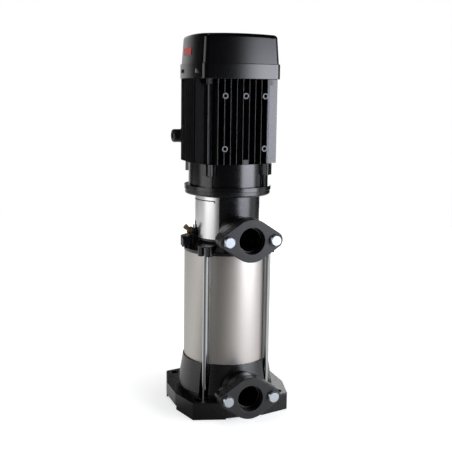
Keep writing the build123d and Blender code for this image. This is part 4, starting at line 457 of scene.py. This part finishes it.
# One fin is a bar with rounded edges, swept up the frame. A row of them stands at the pitch.
tree, size = rule_tree("finned frame", FRAME_SIZES)
upright = node(tree, "ShaderNodeCombineXYZ", {"Z": size["Height"]})
rise = node(tree, "GeometryNodeCurvePrimitiveLine", {"End": upright})
section = node(tree, "GeometryNodeCurvePrimitiveQuadrilateral", {"Width": size["Thickness"],
                                                                 "Height": size["Blank Length"]})
rounded = node(tree, "GeometryNodeFilletCurve", {"Curve": section, "Radius": size["Rounding"], "Count": 5},
               mode="POLY")
fin = node(tree, "GeometryNodeCurveToMesh", {"Curve": rise, "Profile Curve": rounded, "Fill Caps": True})
gaps = node(tree, "ShaderNodeMath", {0: size["Fins"], 1: 1.0}, operation="SUBTRACT")
row_length = node(tree, "ShaderNodeMath", {0: gaps, 1: size["Pitch"]}, operation="MULTIPLY")
first_fin = node(tree, "ShaderNodeMath", {0: row_length, 1: -0.5}, operation="MULTIPLY")
row_start = node(tree, "ShaderNodeCombineXYZ", {"X": first_fin, "Z": size["Low"]})
row_step = node(tree, "ShaderNodeCombineXYZ", {"X": size["Pitch"]})
row = node(tree, "GeometryNodeMeshLine", {"Count": size["Fins"], "Start Location": row_start,
                                          "Offset": row_step})
fins = node(tree, "GeometryNodeInstanceOnPoints", {"Points": row, "Instance": fin})
loose_fins = node(tree, "GeometryNodeRealizeInstances", {0: fins})

# The outer half of each fin moves out to the tip arc, and the inner half in to the core. The fin narrows
# towards its tip, as a casting must to leave its die.
where = node(tree, "GeometryNodeInputPosition")
split = node(tree, "ShaderNodeSeparateXYZ", {0: where})
across_squared = node(tree, "ShaderNodeMath", {0: split.outputs["X"], 1: split.outputs["X"]},
                      operation="MULTIPLY")
root_squared = node(tree, "ShaderNodeMath", {0: size["Root"], 1: size["Root"]}, operation="MULTIPLY")
root_left = node(tree, "ShaderNodeMath", {0: root_squared, 1: across_squared}, operation="SUBTRACT")
root_depth = node(tree, "ShaderNodeMath", {0: root_left}, operation="SQRT")
root_y = node(tree, "ShaderNodeMath", {0: root_depth, 1: -1.0}, operation="MULTIPLY")
arc_squared = node(tree, "ShaderNodeMath", {0: size["Tip Arc"], 1: size["Tip Arc"]}, operation="MULTIPLY")
arc_left = node(tree, "ShaderNodeMath", {0: arc_squared, 1: across_squared}, operation="SUBTRACT")
arc_height = node(tree, "ShaderNodeMath", {0: arc_left}, operation="SQRT")
arc_middle = node(tree, "ShaderNodeMath", {0: size["Middle"], 1: size["Tip Arc"]}, operation="SUBTRACT")
tip_depth = node(tree, "ShaderNodeMath", {0: arc_middle, 1: arc_height}, operation="ADD")
from_end = node(tree, "ShaderNodeMath", {0: size["Blank Length"], 1: 0.5, 2: split.outputs["Y"]},
                operation="MULTIPLY_ADD")
tip_y = node(tree, "ShaderNodeMath", {0: from_end, 1: tip_depth}, operation="SUBTRACT")
is_tip = node(tree, "FunctionNodeCompare", {0: split.outputs["Y"], 1: 0.0}, operation="LESS_THAN")
fin_y = node(tree, "GeometryNodeSwitch", {"Switch": is_tip, "False": root_y, "True": tip_y},
             input_type="FLOAT")
pitches = node(tree, "ShaderNodeMath", {0: split.outputs["X"], 1: size["Pitch"]}, operation="DIVIDE")
fin_count = node(tree, "ShaderNodeMath", {0: pitches}, operation="ROUND")
fin_middle = node(tree, "ShaderNodeMath", {0: fin_count, 1: size["Pitch"]}, operation="MULTIPLY")
off_middle = node(tree, "ShaderNodeMath", {0: split.outputs["X"], 1: fin_middle}, operation="SUBTRACT")
draft = node(tree, "GeometryNodeSwitch", {"Switch": is_tip, "False": size["Root Width"],
                                          "True": size["Tip Width"]}, input_type="FLOAT")
fin_x = node(tree, "ShaderNodeMath", {0: off_middle, 1: draft, 2: fin_middle}, operation="MULTIPLY_ADD")
fin_spot = node(tree, "ShaderNodeCombineXYZ", {"X": fin_x, "Y": fin_y, "Z": split.outputs["Z"]})
fin_row = node(tree, "GeometryNodeSetPosition", {"Geometry": loose_fins, "Position": fin_spot})
sides = node(tree, "GeometryNodeMeshLine", {"Count": 4, "Offset": (0.0, 0.0, 0.0)})
quarter = node(tree, "GeometryNodeInputIndex")
side_angle = node(tree, "ShaderNodeMath", {0: quarter, 1: math.radians(90)}, operation="MULTIPLY")
side_euler = node(tree, "ShaderNodeCombineXYZ", {"Z": side_angle})
side_turn = node(tree, "FunctionNodeEulerToRotation", {0: side_euler})
four_rows = node(tree, "GeometryNodeInstanceOnPoints", {"Points": sides, "Instance": fin_row,
                                                        "Rotation": side_turn})

# The round core that the stator is pressed into.
core_width = node(tree, "ShaderNodeMath", {0: size["Core"], 1: size["Bore"]}, operation="ADD")
middle_radius = node(tree, "ShaderNodeMath", {0: core_width, 1: 0.5}, operation="MULTIPLY")
wall = node(tree, "ShaderNodeMath", {0: size["Core"], 1: size["Bore"]}, operation="SUBTRACT")
around = node(tree, "GeometryNodeCurvePrimitiveCircle", {"Resolution": size["Core Sides"],
                                                         "Radius": middle_radius})
tube_section = node(tree, "GeometryNodeCurvePrimitiveQuadrilateral", {"Width": wall,
                                                                      "Height": size["Height"]})
tube = node(tree, "GeometryNodeCurveToMesh", {"Curve": around, "Profile Curve": tube_section})
half_height = node(tree, "ShaderNodeMath", {0: size["Height"], 1: 0.5, 2: size["Low"]},
                   operation="MULTIPLY_ADD")
tube_lift = node(tree, "ShaderNodeCombineXYZ", {"Z": half_height})
core = node(tree, "GeometryNodeTransform", {0: tube, "Translation": tube_lift})

# Round bosses on the front, which reach down between the fins to the core.
boss_blank = node(tree, "GeometryNodeMeshCylinder", {"Vertices": size["Boss Sides"],
                                                     "Radius": size["Boss Radius"],
                                                     "Depth": size["Boss Length"]})
sink = node(tree, "ShaderNodeMath", {0: size["Boss Length"], 1: -0.5}, operation="MULTIPLY")
boss_sink = node(tree, "ShaderNodeCombineXYZ", {"Z": sink})
boss_down = node(tree, "GeometryNodeTransform", {0: boss_blank, "Translation": boss_sink})
facing = node(tree, "FunctionNodeEulerToRotation", {0: FACING_TURN})
bosses = node(tree, "GeometryNodeInstanceOnPoints", {"Points": size["Places"], "Instance": boss_down,
                                                     "Rotation": facing})
loose_bosses = node(tree, "GeometryNodeRealizeInstances", {0: bosses})
boss_reach = node(tree, "ShaderNodeMath", {0: size["Boss Length"], 1: BOSS_ROOT_SHARE}, operation="MULTIPLY")
root_side = node(tree, "ShaderNodeMath", {0: boss_reach, 1: size["Boss Face"]}, operation="SUBTRACT")
at_root = node(tree, "FunctionNodeCompare", {0: split.outputs["Y"], 1: root_side}, operation="GREATER_THAN")
root_spot = node(tree, "ShaderNodeCombineXYZ", {"X": split.outputs["X"], "Y": root_y,
                                                "Z": split.outputs["Z"]})
boss_set = node(tree, "GeometryNodeSetPosition", {"Geometry": loose_bosses, "Selection": at_root,
                                                  "Position": root_spot})

# All is cast in one with the lug at the front and the pad of the terminal box, and drilled after casting.
cast = node(tree, "GeometryNodeJoinGeometry", {0: [core, four_rows, boss_set,
                                                   block(tree, RIDGE_LOW, RIDGE_HIGH),
                                                   block(tree, PAD_LOW, PAD_HIGH)]})
cast_whole = node(tree, "GeometryNodeRealizeInstances", {0: cast})
boss_drill = node(tree, "GeometryNodeMeshCylinder", {"Vertices": size["Boss Sides"],
                                                     "Radius": size["Boss Hole"],
                                                     "Depth": size["Boss Length"]})
drills = node(tree, "GeometryNodeInstanceOnPoints", {"Points": size["Places"], "Instance": boss_drill,
                                                     "Rotation": facing})
wire_drill = node(tree, "GeometryNodeMeshCylinder", {"Vertices": size["Boss Sides"],
                                                     "Radius": size["Wire Hole"], "Depth": size["Bore"]})
wire_place = node(tree, "GeometryNodeTransform", {0: wire_drill, "Translation": PAD_MIDDLE,
                                                  "Rotation": FACING_TURN})
both_drills = node(tree, "GeometryNodeJoinGeometry", {0: [drills, wire_place]})
all_drills = node(tree, "GeometryNodeRealizeInstances", {0: both_drills})
frame_shape = node(tree, "GeometryNodeMeshBoolean", {"Mesh 1": cast_whole, "Mesh 2": all_drills,
                                                     "Self Intersection": True},
                   operation="DIFFERENCE", solver="EXACT")
boss_spots = [(x * MM, -FRAME_SIZES["Boss Face"], frame_low[2] + up * MM) for x, up in BOSS_PLACES]
finned = grown("motor_frame_finned", tree, frame_shape, motor_paint, FRAME_SIZES, boss_spots)
finned.data.shade_smooth()
finned.data.set_sharp_from_angle(angle=math.radians(25))
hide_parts("motor_frame")
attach(finned, "pump")

# The drill press skims the paint off the boss faces and leaves rings of bare grey aluminium.
RING_SIZES = {"Sides": 40, "Outer": 4.6 * MM, "Inner": 3.0 * MM, "Skim": 0.12 * MM}
bare_boss = surface("machined_aluminium", ("#4E4F52", "#606165"), 0.5, gloss=(0.35, 0.50), gloss_mm=0.8,
                    Metallic=1.0)
tree, size = rule_tree("faced bosses", RING_SIZES)
disc = node(tree, "GeometryNodeMeshCylinder", {"Vertices": size["Sides"], "Radius": size["Outer"],
                                               "Depth": size["Skim"]})
drill = node(tree, "GeometryNodeMeshCylinder", {"Vertices": size["Sides"], "Radius": size["Inner"],
                                                "Depth": size["Outer"]})
faced = node(tree, "GeometryNodeMeshBoolean", {"Mesh 1": disc, "Mesh 2": drill}, operation="DIFFERENCE")
turn = node(tree, "FunctionNodeEulerToRotation", {0: FACING_TURN})
rings = node(tree, "GeometryNodeInstanceOnPoints", {"Points": size["Places"], "Instance": faced,
                                                    "Rotation": turn})
boss_faces = grown("motor_boss_faces", tree, rings, bare_boss, RING_SIZES, boss_spots)
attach(boss_faces, "pump")


# Stator and rotor
# Stamped sheets of electrical steel, stacked into the two cores, with coils of varnished copper wire. The
# stack shows fine rings, drawn coarser than the real 0.5 mm sheets, and the coils a reddish brown.
lamination = surface("stacked_laminations", ("#5A5B5E", "#7A7B7E"), 0.7, run=(0.1, 0.1, 3.0), Metallic=1.0,
                     Roughness=0.45)
dress(lamination, "stator_core", "rotor_core")
copper = surface("varnished_copper", ("#8E4A28", "#B0633A"), 0.8, run=(1.0, 1.0, 0.1), Metallic=1.0,
                 Roughness=0.35)
dress(copper, "stator_windings")


# Terminal box and cable gland
# A die-cast box screwed to the back of the frame and painted as the motor, in a slightly coarser coat, with
# a gland moulded in black nylon.
box_paint = black_paint("painted_box_casting", ("#0A0B0D", "#101114"), "#26282C", 0.9, 0.03, (0.32, 0.44),
                        edge_mm=0.7)
dress(box_paint, "terminal_box", "terminal_box_lid")
black_nylon = surface("black_nylon", ("#131314", "#1B1B1D"), 4.0, gloss=(0.38, 0.52), gloss_mm=0.8)
dress(black_nylon, "terminal_block", "cable_gland_body", "cable_gland_nut")


# Fan and fan cover
# A moulded polypropylene fan under a cover pressed from steel sheet in two parts. The powder coat on it
# flows out smooth, so that the cover mirrors the lamps more sharply than the castings do.
fan_moulding = surface("moulded_polypropylene", ("#1A1A1A", "#232323"), 5.0, gloss=(0.45, 0.6), gloss_mm=1.0)
dress(fan_moulding, "cooling_fan")
powder_coat = black_paint("powder_coated_sheet", ("#040405", "#060608"), "#0B0C0F", 0.6, 0.001, (0.13, 0.15),
                          edge_mm=1.2)
dress(powder_coat, "fan_cover_band", "fan_cover_hood")


# Blank plate
# A small plate of steel sheet on the left side of the hood, enamelled plain red, which gives an even
# colour with a soft gloss.
red_enamel = surface("red_enamelled_plate", ("#C62B22", "#D6362B"), 6.0, Roughness=0.35)
dress(red_enamel, "blank_plate")
